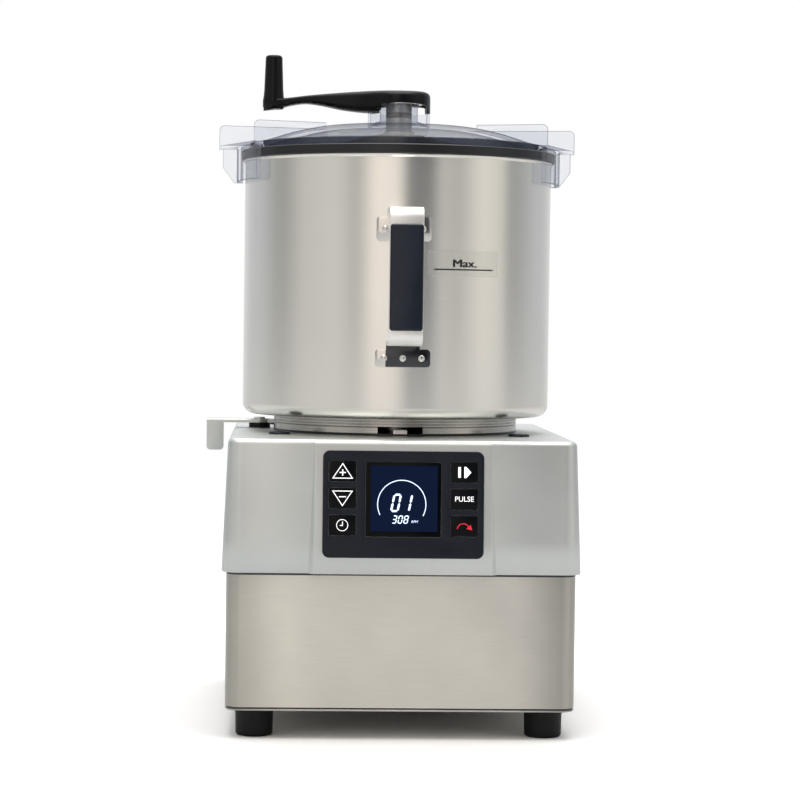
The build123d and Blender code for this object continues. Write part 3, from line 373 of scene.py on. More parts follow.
def arc(centre: Point, radius: float, start: float, end: float, steps: int) -> Outline:
    """Makes points along a circle's arc.

    Args:
        centre: The circle's centre.
        radius: Its radius.
        start: First angle in degrees.
        end: Last angle in degrees.
        steps: Number of chords.

    Returns:
        The points, both ends included.
    """
    angles = (math.radians(start + (end - start) * i / steps) for i in range(steps + 1))
    return [(centre[0] + radius * math.cos(a), centre[1] + radius * math.sin(a)) for a in angles]


def rounded(corners: Sequence[Spot], steps: int = 8) -> Outline:
    """Rounds the corners of a closed outline.

    Args:
        corners: Each corner's two coordinates and its radius, 0 for a sharp one.
        steps: Chords in each rounded corner.

    Returns:
        The outline's points.
    """
    points: Outline = []
    for index, (x, y, radius) in enumerate(corners):
        if radius <= 0:
            points.append((x, y))
            continue
        here = Vector((x, y))
        back = (Vector(corners[index - 1][:2]) - here).normalized()
        ahead = (Vector(corners[(index + 1) % len(corners)][:2]) - here).normalized()
        half = back.angle(ahead) / 2
        centre = here + (back + ahead).normalized() * (radius / math.sin(half))
        first, last = (here + way * (radius / math.tan(half)) - centre for way in (back, ahead))
        sweep = math.copysign(math.pi - 2 * half, first.x * last.y - first.y * last.x)
        turns = (Matrix.Rotation(sweep * step / steps, 2) for step in range(steps + 1))
        points += [tuple(centre + turn @ first) for turn in turns]
    return points


def box_outline(width: float, height: float, radius: float, middle: Point = (0, 0), steps: int = 8) -> Outline:
    """Makes a rectangle with rounded corners.

    Args:
        width: Its width.
        height: Its height.
        radius: Its corner radius.
        middle: Its centre.
        steps: Chords in each corner.

    Returns:
        The outline, counter-clockwise.
    """
    sides = ((-1, -1), (1, -1), (1, 1), (-1, 1))
    return rounded([(middle[0] + u * width / 2, middle[1] + v * height / 2, radius) for u, v in sides], steps)


def linked(name: str, data: bpy.types.ID) -> Piece:
    """Puts data into the scene as an object at the origin.

    Args:
        name: The object's name.
        data: Its mesh, curve, camera or light.

    Returns:
        The object.
    """
    piece = bpy.data.objects.new(name, data)
    bpy.context.scene.collection.objects.link(piece)
    return piece


def smoothed(mesh: bpy.types.Mesh, angle: float = SMOOTH_ANGLE) -> bpy.types.Mesh:
    """Smooths a mesh's shading and keeps edges that turn more than an angle in degrees sharp."""
    mesh.shade_smooth()
    mesh.set_sharp_from_angle(angle=math.radians(angle))
    return mesh


def new_object(name: str, build: bmesh.types.BMesh, angle: float = SMOOTH_ANGLE) -> Piece:
    """Turns built geometry into an object at the origin, with creases sharp and the rest smooth.

    Args:
        name: The piece's name.
        build: The geometry, freed here.
        angle: Edges that turn more than this stay sharp, in degrees.

    Returns:
        The object, in the scene.
    """
    bmesh.ops.remove_doubles(build, verts=build.verts, dist=1e-6)
    bmesh.ops.recalc_face_normals(build, faces=build.faces)
    mesh = bpy.data.meshes.new(name)
    build.to_mesh(mesh)
    build.free()
    return linked(name, smoothed(mesh, angle))


def shell(name: str, rings: Sequence[Sequence], capped: bool, angle: float = SMOOTH_ANGLE) -> Piece:
    """Joins rings of as many points each into a closed skin.

    Args:
        name: The piece's name.
        rings: The rings in order.
        capped: Whether the first and last ring are filled; otherwise the last joins the first.
        angle: Edges that turn more than this stay sharp, in degrees.

    Returns:
        The skin as an object.
    """
    build = bmesh.new()
    loops = [[build.verts.new(spot) for spot in ring] for ring in rings]
    for one, two in zip(loops, loops[1:] if capped else loops[1:] + loops[:1]):
        for i in range(len(one)):
            j = (i + 1) % len(one)
            build.faces.new((one[i], one[j], two[j], two[i]))
    if capped:
        build.faces.new(loops[0][::-1])
        build.faces.new(loops[-1])
    return new_object(name, build, angle)


def lathe(name: str, profile: Outline, segments: int = 160, closed: bool = True) -> Piece:
    """Turns a profile round the Z axis.

    Args:
        name: The piece's name.
        profile: Radius and height pairs.
        segments: Steps round the axis.
        closed: Whether the last point joins the first.

    Returns:
        The turned object.
    """
    build = bmesh.new()
    turns = [math.tau * step / segments for step in range(segments)]
    rings = [[build.verts.new((r * math.cos(a), r * math.sin(a), z)) for r, z in profile] for a in turns]
    for here, there in zip(rings, rings[1:] + rings[:1]):
        for i in range(len(profile) if closed else len(profile) - 1):
            j = (i + 1) % len(profile)
            ends = (profile[i][0] < ON_AXIS, profile[j][0] < ON_AXIS)
            if ends == (True, False):
                build.faces.new((here[i], there[j], here[j]))
            elif ends == (False, True):
                build.faces.new((here[i], there[i], here[j]))
            elif ends == (False, False):
                build.faces.new((here[i], there[i], there[j], here[j]))
    return new_object(name, build)


def raise_faces(build: bmesh.types.BMesh, low: float, high: float, place: Placing) -> None:
    """Extrudes flat geometry between two depths and puts each point in its place."""
    grown = bmesh.ops.extrude_face_region(build, geom=build.faces[:])
    top = {vert for vert in grown["geom"] if isinstance(vert, bmesh.types.BMVert)}
    for vert in build.verts:
        vert.co = Vector(place(vert.co.x, vert.co.y, high if vert in top else low))


def prism(
    name: str,
    outline: Outline,
    low: float,
    high: float,
    place: Placing,
    holes: Iterable[Outline] = (),
    edge: float = 0.0,
    edge_steps: int = 3,
) -> Piece:
    """Extrudes an outline, with holes, between two depths and softens its edges.

    Args:
        name: The piece's name.
        outline: The outer boundary.
        low: First depth.
        high: Second depth.
        place: Gives the point in the frame for two outline coordinates and a depth.
        holes: Boundaries of openings that go right through.
        edge: Width of the softened edge, 0 for none.
        edge_steps: Segments across that edge.

    Returns:
        The solid object.
    """
    build = bmesh.new()
    for ring in (outline, *holes):
        verts = [build.verts.new((x, y, 0)) for x, y in ring]
        for i, vert in enumerate(verts):
            build.edges.new((vert, verts[(i + 1) % len(verts)]))
    bmesh.ops.triangle_fill(build, edges=build.edges[:], use_beauty=True, use_dissolve=False)
    inner = [e for e in build.edges if len(e.link_faces) == 2]
    bmesh.ops.dissolve_limit(build, angle_limit=0.001, verts=[], edges=inner)
    raise_faces(build, low, high, place)
    piece = new_object(name, build)
    return soften(piece, edge, edge_steps) if edge else piece


def soften(piece: Piece, width: float, steps: int = 3, angle: float = 40.0, paint: int = -1) -> Piece:
    """Rounds a piece's sharp edges and bakes the result into its mesh.

    Args:
        piece: The piece to round.
        width: The rounding's width.
        steps: Segments across it.
        angle: Edges sharper than this are rounded, in degrees.
        paint: The material slot of the rounding, -1 for that of the faces beside it.

    Returns:
        The same piece.
    """
    modifier = piece.modifiers.new("edge", "BEVEL")
    modifier.width = width
    modifier.material = paint
    modifier.segments = steps
    modifier.limit_method = "ANGLE"
    modifier.angle_limit = math.radians(angle)
    modifier.use_clamp_overlap = True
    return bake(piece)


def bake(piece: Piece) -> Piece:
    """Applies every modifier of a piece and smooths its shading.

    Args:
        piece: The piece whose modifiers are applied.

    Returns:
        The same piece with a plain mesh.
    """
    bpy.context.view_layer.update()
    mesh = bpy.data.meshes.new_from_object(piece.evaluated_get(bpy.context.evaluated_depsgraph_get()))
    piece.modifiers.clear()
    old = piece.data
    piece.data = smoothed(mesh)
    if old.users == 0:
        bpy.data.meshes.remove(old)
    return piece


def cut(piece: Piece, tool: Piece) -> Piece:
    """Subtracts a tool from a piece and deletes the tool.

    Args:
        piece: The piece that is cut.
        tool: The shape that is taken away.

    Returns:
        The cut piece.
    """
    modifier = piece.modifiers.new("cut", "BOOLEAN")
    modifier.operation = "DIFFERENCE"
    modifier.solver = "EXACT"
    modifier.object = tool
    bake(piece)
    bpy.data.objects.remove(tool)
    return piece


def merge(name: str, pieces: Sequence[Piece]) -> Piece:
    """Joins pieces that have the same material slots, or none, into one object.

    Args:
        name: The joined piece's name.
        pieces: The pieces, which are deleted.

    Returns:
        The joined object.
    """
    build = bmesh.new()
    for piece in pieces:
        build.from_mesh(piece.data)
    mesh = bpy.data.meshes.new(name)
    build.to_mesh(mesh)
    build.free()
    for piece in pieces:
        bpy.data.objects.remove(piece)
    return linked(name, smoothed(mesh))


def wrapped(name: str, outline: Outline, thick: float, wrap: Placing, edge: float = 0.0) -> Piece:
    """Cuts a flat outline into strips, gives it a thickness and bends it.

    Args:
        name: The piece's name.
        outline: The flat outline.
        thick: Its thickness.
        wrap: Gives the bent place for two flat coordinates and a depth.
        edge: Width of the softened edge, 0 for none.

    Returns:
        The bent piece.
    """
    build = bmesh.new()
    build.faces.new([build.verts.new((x, y, 0)) for x, y in outline])
    left, right = min(x for x, _ in outline), max(x for x, _ in outline)
    strips = max(1, round((right - left) / STRIP))
    for i in range(1, strips):
        place = (left + (right - left) * i / strips, 0, 0)
        parts = build.verts[:] + build.edges[:] + build.faces[:]
        bmesh.ops.bisect_plane(build, geom=parts, plane_co=place, plane_no=(1, 0, 0))
    raise_faces(build, 0.0, thick, wrap)
    piece = new_object(name, build)
    return soften(piece, edge, 2) if edge else piece


def word_mesh(
    name: str, text: str, size: float, place: Callable[..., Spot], slant: float = 0.0, weight: float = 0.0
) -> Piece:
    """Sets a word in Blender's own sans face.

    Args:
        name: The piece's name.
        text: The word.
        size: Its letter size.
        place: Gives the point in the frame for two coordinates round the word's centre.
        slant: How far the letters lean.
        weight: Extra boldness of the outline.

    Returns:
        The word as a flat mesh.
    """
    curve = bpy.data.curves.new(name, "FONT")
    curve.body, curve.size, curve.shear, curve.offset = text, size, slant, weight
    curve.align_x = curve.align_y = "CENTER"
    carrier = linked(name, curve)
    bpy.context.view_layer.update()
    mesh = bpy.data.meshes.new_from_object(carrier.evaluated_get(bpy.context.evaluated_depsgraph_get()))
    bpy.data.objects.remove(carrier)
    mesh.materials.clear()
    for vert in mesh.vertices:
        vert.co = place(vert.co.x, vert.co.y)
    return linked(name, mesh)


def refined(node: Piece, name: str, width: float = 0.0, steps: int = 2) -> Piece:
    """Copies a solid's mesh, welds it, merges its flat faces and rounds its edges.

    Args:
        node: The solid's object.
        name: The new piece's name.
        width: The rounding's width, 0 for none.
        steps: Segments across the rounding.

    Returns:
        The finer copy.
    """
    build = bmesh.new()
    build.from_mesh(node.data)
    bmesh.ops.remove_doubles(build, verts=build.verts, dist=2e-6)
    bmesh.ops.dissolve_limit(build, angle_limit=math.radians(0.5), verts=build.verts, edges=build.edges)
    piece = new_object(name, build)
    return soften(piece, width, steps) if width else piece


def stroke(path: Outline, width: float, closed: bool = False) -> list[Outline]:
    """Widens a line into flat quads with mitred joints.

    Args:
        path: The line's points.
        width: Its width.
        closed: Whether it returns to its start.

    Returns:
        One outline for each stretch.
    """
    count = len(path)
    sides = []
    for i, spot in enumerate(path):
        here = Vector(spot)
        before = here - Vector(path[i - 1]) if i > 0 or closed else None
        after = Vector(path[(i + 1) % count]) - here if i < count - 1 or closed else None
        way_in = (before or after).normalized()
        way_out = (after or before).normalized()
        mid = (way_in + way_out).normalized()
        across = Vector((-mid.y, mid.x))
        reach = across * (width / 2 / max(across.dot(Vector((-way_out.y, way_out.x))), 0.35))
        sides.append((here + reach, here - reach))
    ends = sides[1:] + sides[:1] if closed else sides[1:]
    return [[tuple(b), tuple(d), tuple(c), tuple(a)] for (a, b), (c, d) in zip(sides, ends)]


def digit(shape: str, corner: Point, size: Point, bar: float, lean: float = 0.2) -> list[Outline]:
    """Draws one seven-segment digit.

    Args:
        shape: The digit.
        corner: Its lower left corner.
        size: Its width and height.
        bar: Width of a segment.
        lean: Sideways lean for each unit of height.

    Returns:
        The lit segments.
    """
    lit = {"0": "abcdef", "1": "bc", "3": "abcdg", "8": "abcdefg"}[shape]
    left, right, low, high = bar / 2, size[0] - bar / 2, bar / 2, size[1] - bar / 2
    half, gap = size[1] / 2, bar * 0.12
    spans = {
        "a": (left + gap, high, right - gap, high),
        "g": (left + gap, half, right - gap, half),
        "d": (left + gap, low, right - gap, low),
        "f": (left, half + gap, left, high - gap),
        "b": (right, half + gap, right, high - gap),
        "e": (left, low + gap, left, half - gap),
        "c": (right, low + gap, right, half - gap),
    }
    outlines = []
    for name in lit:
        first, last = Vector(spans[name][:2]), Vector(spans[name][2:])
        way = (last - first).normalized() * bar / 2
        side = Vector((-way.y, way.x))
        hexagon = [first, first + way - side, last - way - side, last, last - way + side, first + way + side]
        outlines.append([(corner[0] + p.x + lean * p.y, corner[1] + p.y) for p in hexagon])
    return outlines


def level(x: float, y: float, depth: float) -> Spot:
    """Lays an outline flat, its depth going up."""
    return x, y, depth


def facing(x: float, y: float, depth: float) -> Spot:
    """Stands an outline up facing the front, its depth along Y."""
    return x, depth, y


def sideways(x: float, y: float, depth: float) -> Spot:
    """Stands an outline up in the YZ plane, its depth along X."""
    return depth, x, y


def moved(piece: Piece, x: float = 0.0, y: float = 0.0, z: float = 0.0) -> Piece:
    """Moves a piece's mesh, with its object left at the origin."""
    piece.data.transform(Matrix.Translation((x, y, z)))
    return piece


@dataclass
class Part:
    """A sub-part of the machine, with the finishes and the solids that it may use."""

    finishes: dict[str, Material]
    nodes: dict[str, Piece]

    def paint(self, piece: Piece, finish: str, pick: Pick | None = None) -> None:
        """Gives a piece its finishes.

        Args:
            piece: The piece.
            finish: The finishes' names, parted by spaces.
            pick: Gives each face's number among them; without it, every face has the first.
        """
        piece.data.materials.clear()
        for name in finish.split():
            piece.data.materials.append(self.finishes[name])
        if pick:
            for face in piece.data.polygons:
                face.material_index = pick(face)

    def give(
        self, piece: Piece, body: Body, finish: str, slot: str, *replaces: str, pick: Pick | None = None
    ) -> None:
        """Gives a finished piece its finish, its body and the solids that it stands for.

        Args:
            piece: The finished piece.
            body: The body it rides on.
            finish: Its finish, or nothing where it already has some.
            slot: The record's material slot.
            replaces: The solids it stands for.
            pick: Gives each face's number among the finishes.
        """
        if finish:
            self.paint(piece, finish, pick)
        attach(piece, body.value)
        if replaces:
            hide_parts(*replaces)
        LOG.info("%s: %d faces on %s", piece.name, len(piece.data.polygons), body.value)


@dataclass
class Solids(Part):
    """The solids that keep their own mesh."""

    def build(self) -> None:
        """Gives every solid that is shown as it is its finish."""
        finish = {
            "polished_fitting": "foot_screws lever_screw locating_pin handle_rivets crank_shaft motor_shaft",
            "satin_strap": "lid_bush",
            "turned_ring": "seat_bush knife_hub bottom_plate",
            "ground_blade": "lower_knife upper_knife",
            "food_grade_plastic": "knife_cap knife_spacer wiper_frame wiper_blades",
            "seal_rubber": "shaft_seal",
            "grip_nylon": "cable_gland cooling_fan",
            "cast_aluminium": "motor_plate motor_housing end_shield upper_bearing lower_bearing",
            "laminated_iron": "stator rotor_core",
            "board_laminate": "control_board drive_board",
            "screen_mask": "display_module",
        }
        for material, names in finish.items():
            for name in names.split():
                self.paint(self.nodes[name], material)


@dataclass
class Casing(Part):
    """Lower body with its rear openings, drafted cover with its sloping panel boss, and feet."""

    half_width: float = 128.5 * MM
    front: float = -157.5 * MM
    back: float = 167.5 * MM
    body_low: float = 21 * MM
    body_high: float = 140 * MM
    body_corner: float = 12 * MM
    body_wall: float = 1.5 * MM
    floor_lip: float = 38 * MM
    hem_height: float = 2.1 * MM
    hem_inset: float = 0.63 * MM
    gap_low: float = 120.5 * MM
    vent_rows: int = 8
    vent_pitch: float = 10 * MM
    vent_middle: float = 75 * MM
    vent_size: Point = (60 * MM, 4 * MM)
    gland_place: Point = (85 * MM, 50 * MM)
    gland_hole: float = 9 * MM
    overhang: float = 3.5 * MM
    cover_low: float = 122.2 * MM
    cover_high: float = 220 * MM
    cover_draft: float = 4 * MM
    cover_corner: float = 14 * MM
    cover_bend: float = 4.2 * MM
    cover_wall: float = 2 * MM
    cover_inside: float = 40 * MM
    boss_points: int = 14
    boss_half: float = 64.5 * MM
    boss_low_proud: float = 5 * MM
    boss_high_proud: float = 0.4 * MM
    boss_high: float = 216 * MM
    foot_top: float = 14.6 * MM
    foot_floor: float = 13.7 * MM
    foot_round: float = 2.5 * MM

    def ring(self, z: float, inset: float, corner: float, boss: float = 0.0) -> list[Vector]:
        """Outlines the casing at one height.

        Args:
            z: The height.
            inset: How far inside the body's outline the ring lies, negative for outside.
            corner: The corner radius there.
            boss: How far the boss stands out there.

        Returns:
            The ring's points, the same number at every height, those of the boss last.
        """
        width, front, back = self.half_width - inset, self.front + inset, self.back - inset
        sides = ((width, front), (width, back), (-width, back), (-width, front))
        points = [Vector((x, y, z)) for x, y in rounded([(*side, corner) for side in sides], 10)]
        slope = max(boss, 1e-5)
        stops = [self.boss_half + slope * share for share in (1, 0.75, 0.25, 0)]
        stops += [self.boss_half * share for share in (0.985, 0.6, 0.2)]
        rise = (0.0, 0.22, 0.78, 0.98, 1.0, 1.0, 1.0)
        half = [(x, front - boss * share) for x, share in zip(stops, rise)]
        return points + [Vector((-x, y, z)) for x, y in half] + [Vector((x, y, z)) for x, y in reversed(half)]

    def lower_body(self) -> None:
        """Makes the lower body with its hemmed bottom edge, rear slots and gland hole."""
        wall, corner, low, lip = self.body_wall, self.body_corner, self.body_low, self.floor_lip
        hem, groove, edge = low + self.hem_height, self.hem_inset, 0.6 * MM
        rows = [
            (self.body_high, wall, corner - wall),
            (self.body_high, 0, corner),
            (self.gap_low, 0, corner),
            (hem + 0.5 * MM, 0, corner),
            (hem, groove, corner),
            (hem - edge, groove, corner),
            (hem - 1 * MM, 0, corner),
            (low + edge, 0, corner),
            (low, edge, corner),
            (low, lip, corner),
            (low + wall, lip, corner),
            (low + wall, wall, corner - wall),
        ]
        body = shell("lower_body_sheet", [self.ring(*row) for row in rows], False, 50)
        tools = []
        for row in range(self.vent_rows):
            z = self.vent_middle + (row - (self.vent_rows - 1) / 2) * self.vent_pitch
            outline = box_outline(*self.vent_size, self.vent_size[1] / 2 - 0.01 * MM, (0, z), 6)
            tools.append(prism("slot", outline, self.back - 6 * MM, self.back + 6 * MM, facing))
        r, reach = self.gland_hole, 6 * MM
        hole = lathe("slot", [(r, -reach), (r, reach), (0, reach), (0, -reach)], 32)
        hole.data.transform(Matrix.Rotation(math.pi / 2, 4, "X"))
        tools.append(moved(hole, self.gland_place[0], self.back, self.gland_place[1]))
        cut(body, merge("slots", tools))

        def shaded(face: Face) -> int:
            """Darkens the hem's groove and the strip under the cover."""
            return int(hem - edge < face.center.z < hem + 0.5 * MM or face.center.z > self.gap_low)

        finish = "brushed_sheet shaded_fitting"
        self.give(body, Body.BASE, finish, "brushed_steel", "lower_body", pick=shaded)

    def cover_ring(self, z: float, inward: float) -> list[Vector]:
        """Outlines the cover's wall at a height, moved inward."""
        share = (z - self.cover_low) / (self.cover_high - self.cover_low)
        rise = min(1.0, (z - self.cover_low) / (self.boss_high - self.cover_low))
        boss = self.boss_low_proud + (self.boss_high_proud - self.boss_low_proud) * rise
        draft = self.cover_draft * share
        corner = max(self.cover_corner - draft - inward, 1 * MM)
        return self.ring(z, draft - self.overhang + inward, corner, boss)

    def cover(self) -> None:
        """Makes the pressed upper cover, whose boss fades out round the top bend."""
        at, low, high, bend = self.cover_ring, self.cover_low, self.cover_high, self.cover_bend
        wall, edge, steps = self.cover_wall, 0.4 * MM, 8
        rings = [at(low + self.cover_inside, wall), at(low, wall), at(low, edge), at(low + edge, 0)]
        rings += [at(low + (high - low) * share, 0) for share in (0.25, 0.5, 0.75)]
        rings.append(at(high - bend, 0))
        for step in range(1, steps + 1):
            turn = math.radians(90 * step / steps)
            ring = at(min(high - bend + bend * math.sin(turn), high), bend * (1 - math.cos(turn)))
            for point in ring[-self.boss_points :]:
                point.y = ring[0].y + (point.y - ring[0].y) * (1 - step / steps)
            rings.append(ring)
        cover = shell("upper_cover_pressing", rings, True, 50)
        self.give(cover, Body.BASE, "satin_pressing", "cover_steel", "upper_cover")

    def feet(self) -> None:
        """Turns the four rubber feet."""
        floor, top, r, high = self.foot_floor, self.foot_top, self.foot_round, self.body_low
        screw, head, head_high = 3 * MM, 5.5 * MM, 12 * MM
        profile: Outline = [(head, 0.0)] + arc((floor - r, r), r, -90, 0, 8)
        profile += [(top - 0.6 * MM, high - 4 * MM), (top, high - 3 * MM), (top, high), (screw, high)]
        profile += [(screw, head_high), (head, head_high)]
        for name in ("front_left", "front_right", "back_left", "back_right"):
            near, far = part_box(f"foot_{name}")
            foot = lathe(f"foot_{name}_rubber", profile, 64)
            moved(foot, (near[0] + far[0]) / 2, (near[1] + far[1]) / 2)
            self.give(foot, Body.BASE, "foot_rubber", "black_rubber", f"foot_{name}")

    def build(self) -> None:
        """Builds the whole casing."""
        self.lower_body()
        self.cover()
        self.feet()


@dataclass
class Panel(Part):
    """Control panel on the boss: fascia, six keys with their signs, and the lit screen."""

    centre_z: float = 173 * MM
    centre_y: float = -161.465 * MM
    tilt: float = math.atan2(8.435, 93)
    width: float = 117.5 * MM
    height: float = 78 * MM
    corner: float = 5 * MM
    thick: float = 2.2 * MM
    gap: float = 0.25 * MM
    key_size: Point = (19.7 * MM, 15 * MM)
    key_corner: float = 1.2 * MM
    key_x: float = 44.4 * MM
    key_pitch: float = 19.6 * MM
    key_row: float = 177.3 * MM
    key_proud: float = 0.2 * MM
    screen_size: Point = (54.9 * MM, 54.4 * MM)
    screen_row: float = 176.8 * MM
    screen_depth: float = 1.8 * MM
    lit_size: Point = (48.7 * MM, 47.9 * MM)
    lit_offset: float = 0.6 * MM
    hub_offset: Point = (-1.2 * MM, -3.6 * MM)
    gauge_radius: float = 17.6 * MM
    word_size: float = 5.3 * MM
    word_weight: float = 0.02 * MM
    unit_size: float = 2.6 * MM
    line: float = 0.62
    lean: float = 0.2
    ink: float = 0.03 * MM

    def point(self, x: float, y: float, depth: float) -> Spot:
        """Places panel coordinates: across, up the slope and out of it."""
        sine, cosine = math.sin(self.tilt), math.cos(self.tilt)
        return x, self.centre_y + y * sine - depth * cosine, self.centre_z + y * cosine + depth * sine

    def up(self, z: float) -> float:
        """Distance up the slope to a height."""
        return (z - self.centre_z) / math.cos(self.tilt)

    def keys(self) -> dict[str, Point]:
        """Gives each key's centre on the panel."""
        columns = {-1: ("up", "down", "timer"), 1: ("start", "pulse", "reverse")}
        middle = self.up(self.key_row)
        return {
            name: (side * self.key_x, middle + (1 - row) * self.key_pitch)
            for side, names in columns.items()
            for row, name in enumerate(names)
        }

    def fascia(self) -> None:
        """Makes the fascia plate with its windows."""
        wide, high = (size + 2 * self.gap for size in self.key_size)
        corner = self.key_corner + self.gap
        holes = [box_outline(wide, high, corner, place, 4) for place in self.keys().values()]
        wide, high = (size + 2 * self.gap for size in self.screen_size)
        holes.append(box_outline(wide, high, 0.8 * MM, (0.0, self.up(self.screen_row)), 4))
        outline = box_outline(self.width, self.height, self.corner)
        plate = prism("panel_fascia_film", outline, 0, self.thick, self.point, holes, 0.35 * MM)
        self.give(plate, Body.BASE, "fascia_film", "fascia_plastic", "panel_fascia")

    def print_shapes(
        self, name: str, shapes: Sequence[Outline], depth: float, body: Body, ink: str, slot: str
    ) -> None:
        """Prints flat shapes as a thin layer of ink.

        Args:
            name: The piece's name.
            shapes: Outlines on the panel.
            depth: Height of the surface that carries the ink.
            body: The body that carries it.
            ink: The ink's finish.
            slot: The record's material slot.
        """
        layers = [prism("ink", shape, depth, depth + self.ink, self.point) for shape in shapes]
        self.give(merge(name, layers), body, ink, slot)

    def near(self, x: float, y: float, depth: float) -> Callable[..., Spot]:
        """Gives the placing of what is drawn round a point of the panel."""
        return lambda u, v: self.point(x + u, y + v, depth)

    def sign(self, name: str, place: Point) -> list[Outline]:
        """Draws one key's sign.

        Args:
            name: The key's name.
            place: The key's centre.

        Returns:
            The sign's shapes.
        """
        line = self.line
        # Millimetres round the key's centre
        shapes = {
            "up": stroke([(-7.1, -5.0), (7.1, -5.0), (0, 5.6)], line, True),
            "down": stroke([(-7.1, 5.2), (0, -5.4), (7.1, 5.2)], line, True),
            "timer": stroke(arc((0, 0), 4.1, 0, 348.75, 31), line * 0.8, True),
            "start": [box_outline(1.9, 7.8, 0, (-3.65, 0))],
            "reverse": stroke(arc((-0.6, -2.6), 4.5, 172, 20, 20), line * 1.05),
        }[name]
        shapes += {
            "up": [box_outline(4.6, 0.8, 0, (0, -0.9)), box_outline(0.8, 4.6, 0, (0, -0.9))],
            "down": [box_outline(5.2, 0.7, 0, (0, 1.05))],
            "timer": stroke([(0.2, 2.6), (0.2, -0.2), (-1.7, -0.2)], line),
            "start": [[(-0.2, -4.1), (1.2, -4.1), (5.0, 0.0), (1.2, 4.1), (-0.2, 4.1)]],
            "reverse": [[(1.6, -1.8), (5.9, -2.9), (4.8, 1.2)]],
        }[name]
        return [[(place[0] + u * MM, place[1] + v * MM) for u, v in shape] for shape in shapes]

    def key_caps(self) -> None:
        """Makes the keys and prints their signs."""
        top = self.thick + self.key_proud
        for name, place in self.keys().items():
            body = Body(f"key_{name}")
            ink = "red_backlit_ink" if name == "reverse" else "white_backlit_ink"
            outline = box_outline(*self.key_size, self.key_corner, place, 4)
            cap = prism(f"key_{name}_cap", outline, 0.0, top, self.point, edge=0.25 * MM, edge_steps=2)
            self.give(cap, body, "key_film", "key_plastic", f"key_{name}")
            if name == "pulse":
                near = self.near(*place, top + self.ink)
                word = word_mesh("key_pulse_word", "PULSE", self.word_size, near, weight=self.word_weight)
                self.give(word, body, ink, "key_plastic")
            else:
                self.print_shapes(f"key_{name}_sign", self.sign(name, place), top, body, ink, "key_plastic")

    def screen(self) -> None:
        """Makes the screen's mask, its lit field, the gauge and the numbers."""
        middle, top = (0.0, self.up(self.screen_row)), self.thick - self.key_proud
        outline = box_outline(*self.screen_size, 0.6 * MM, middle, 3)
        low = self.thick - self.screen_depth
        mask = prism("display_window_mask", outline, low, top, self.point, edge=0.15 * MM, edge_steps=2)
        self.give(mask, Body.BASE, "screen_mask", "screen_glass", "display_window")
        field = box_outline(*self.lit_size, 0.5 * MM, (self.lit_offset, middle[1] + self.lit_offset), 3)
        light = top + self.ink
        x, y = self.hub_offset[0], middle[1] + self.hub_offset[1]
        gauge = stroke(arc((x, y), self.gauge_radius, 206, -28, 40), 0.6 * MM)
        numbers: list[Outline] = []
        for i, char in enumerate("01"):
            numbers += digit(char, (x + (-8.6 + 8.2 * i) * MM, y - 5.6 * MM), (6.2 * MM, 13.4 * MM), 1.5 * MM)
        for i, char in enumerate("308"):
            numbers += digit(char, (x + (-7.4 + 4.2 * i) * MM, y - 14 * MM), (3.3 * MM, 6.0 * MM), 0.75 * MM)
        self.print_shapes("screen_field", [field], top, Body.BASE, "screen_backlight", "lit_screen")
        self.print_shapes("screen_gauge", gauge, light, Body.BASE, "screen_segments", "lit_screen")
        self.print_shapes("screen_numbers", numbers, light, Body.BASE, "screen_segments", "lit_screen")
        near = self.near(x + 9.3 * MM, y - 12.6 * MM, light + self.ink)
        unit = word_mesh("screen_unit", "RPM", self.unit_size, near, self.lean)
        self.give(unit, Body.BASE, "screen_segments", "lit_screen")

    def build(self) -> None:
        """Builds the whole panel."""
        self.fascia()
        self.key_caps()
        self.screen()


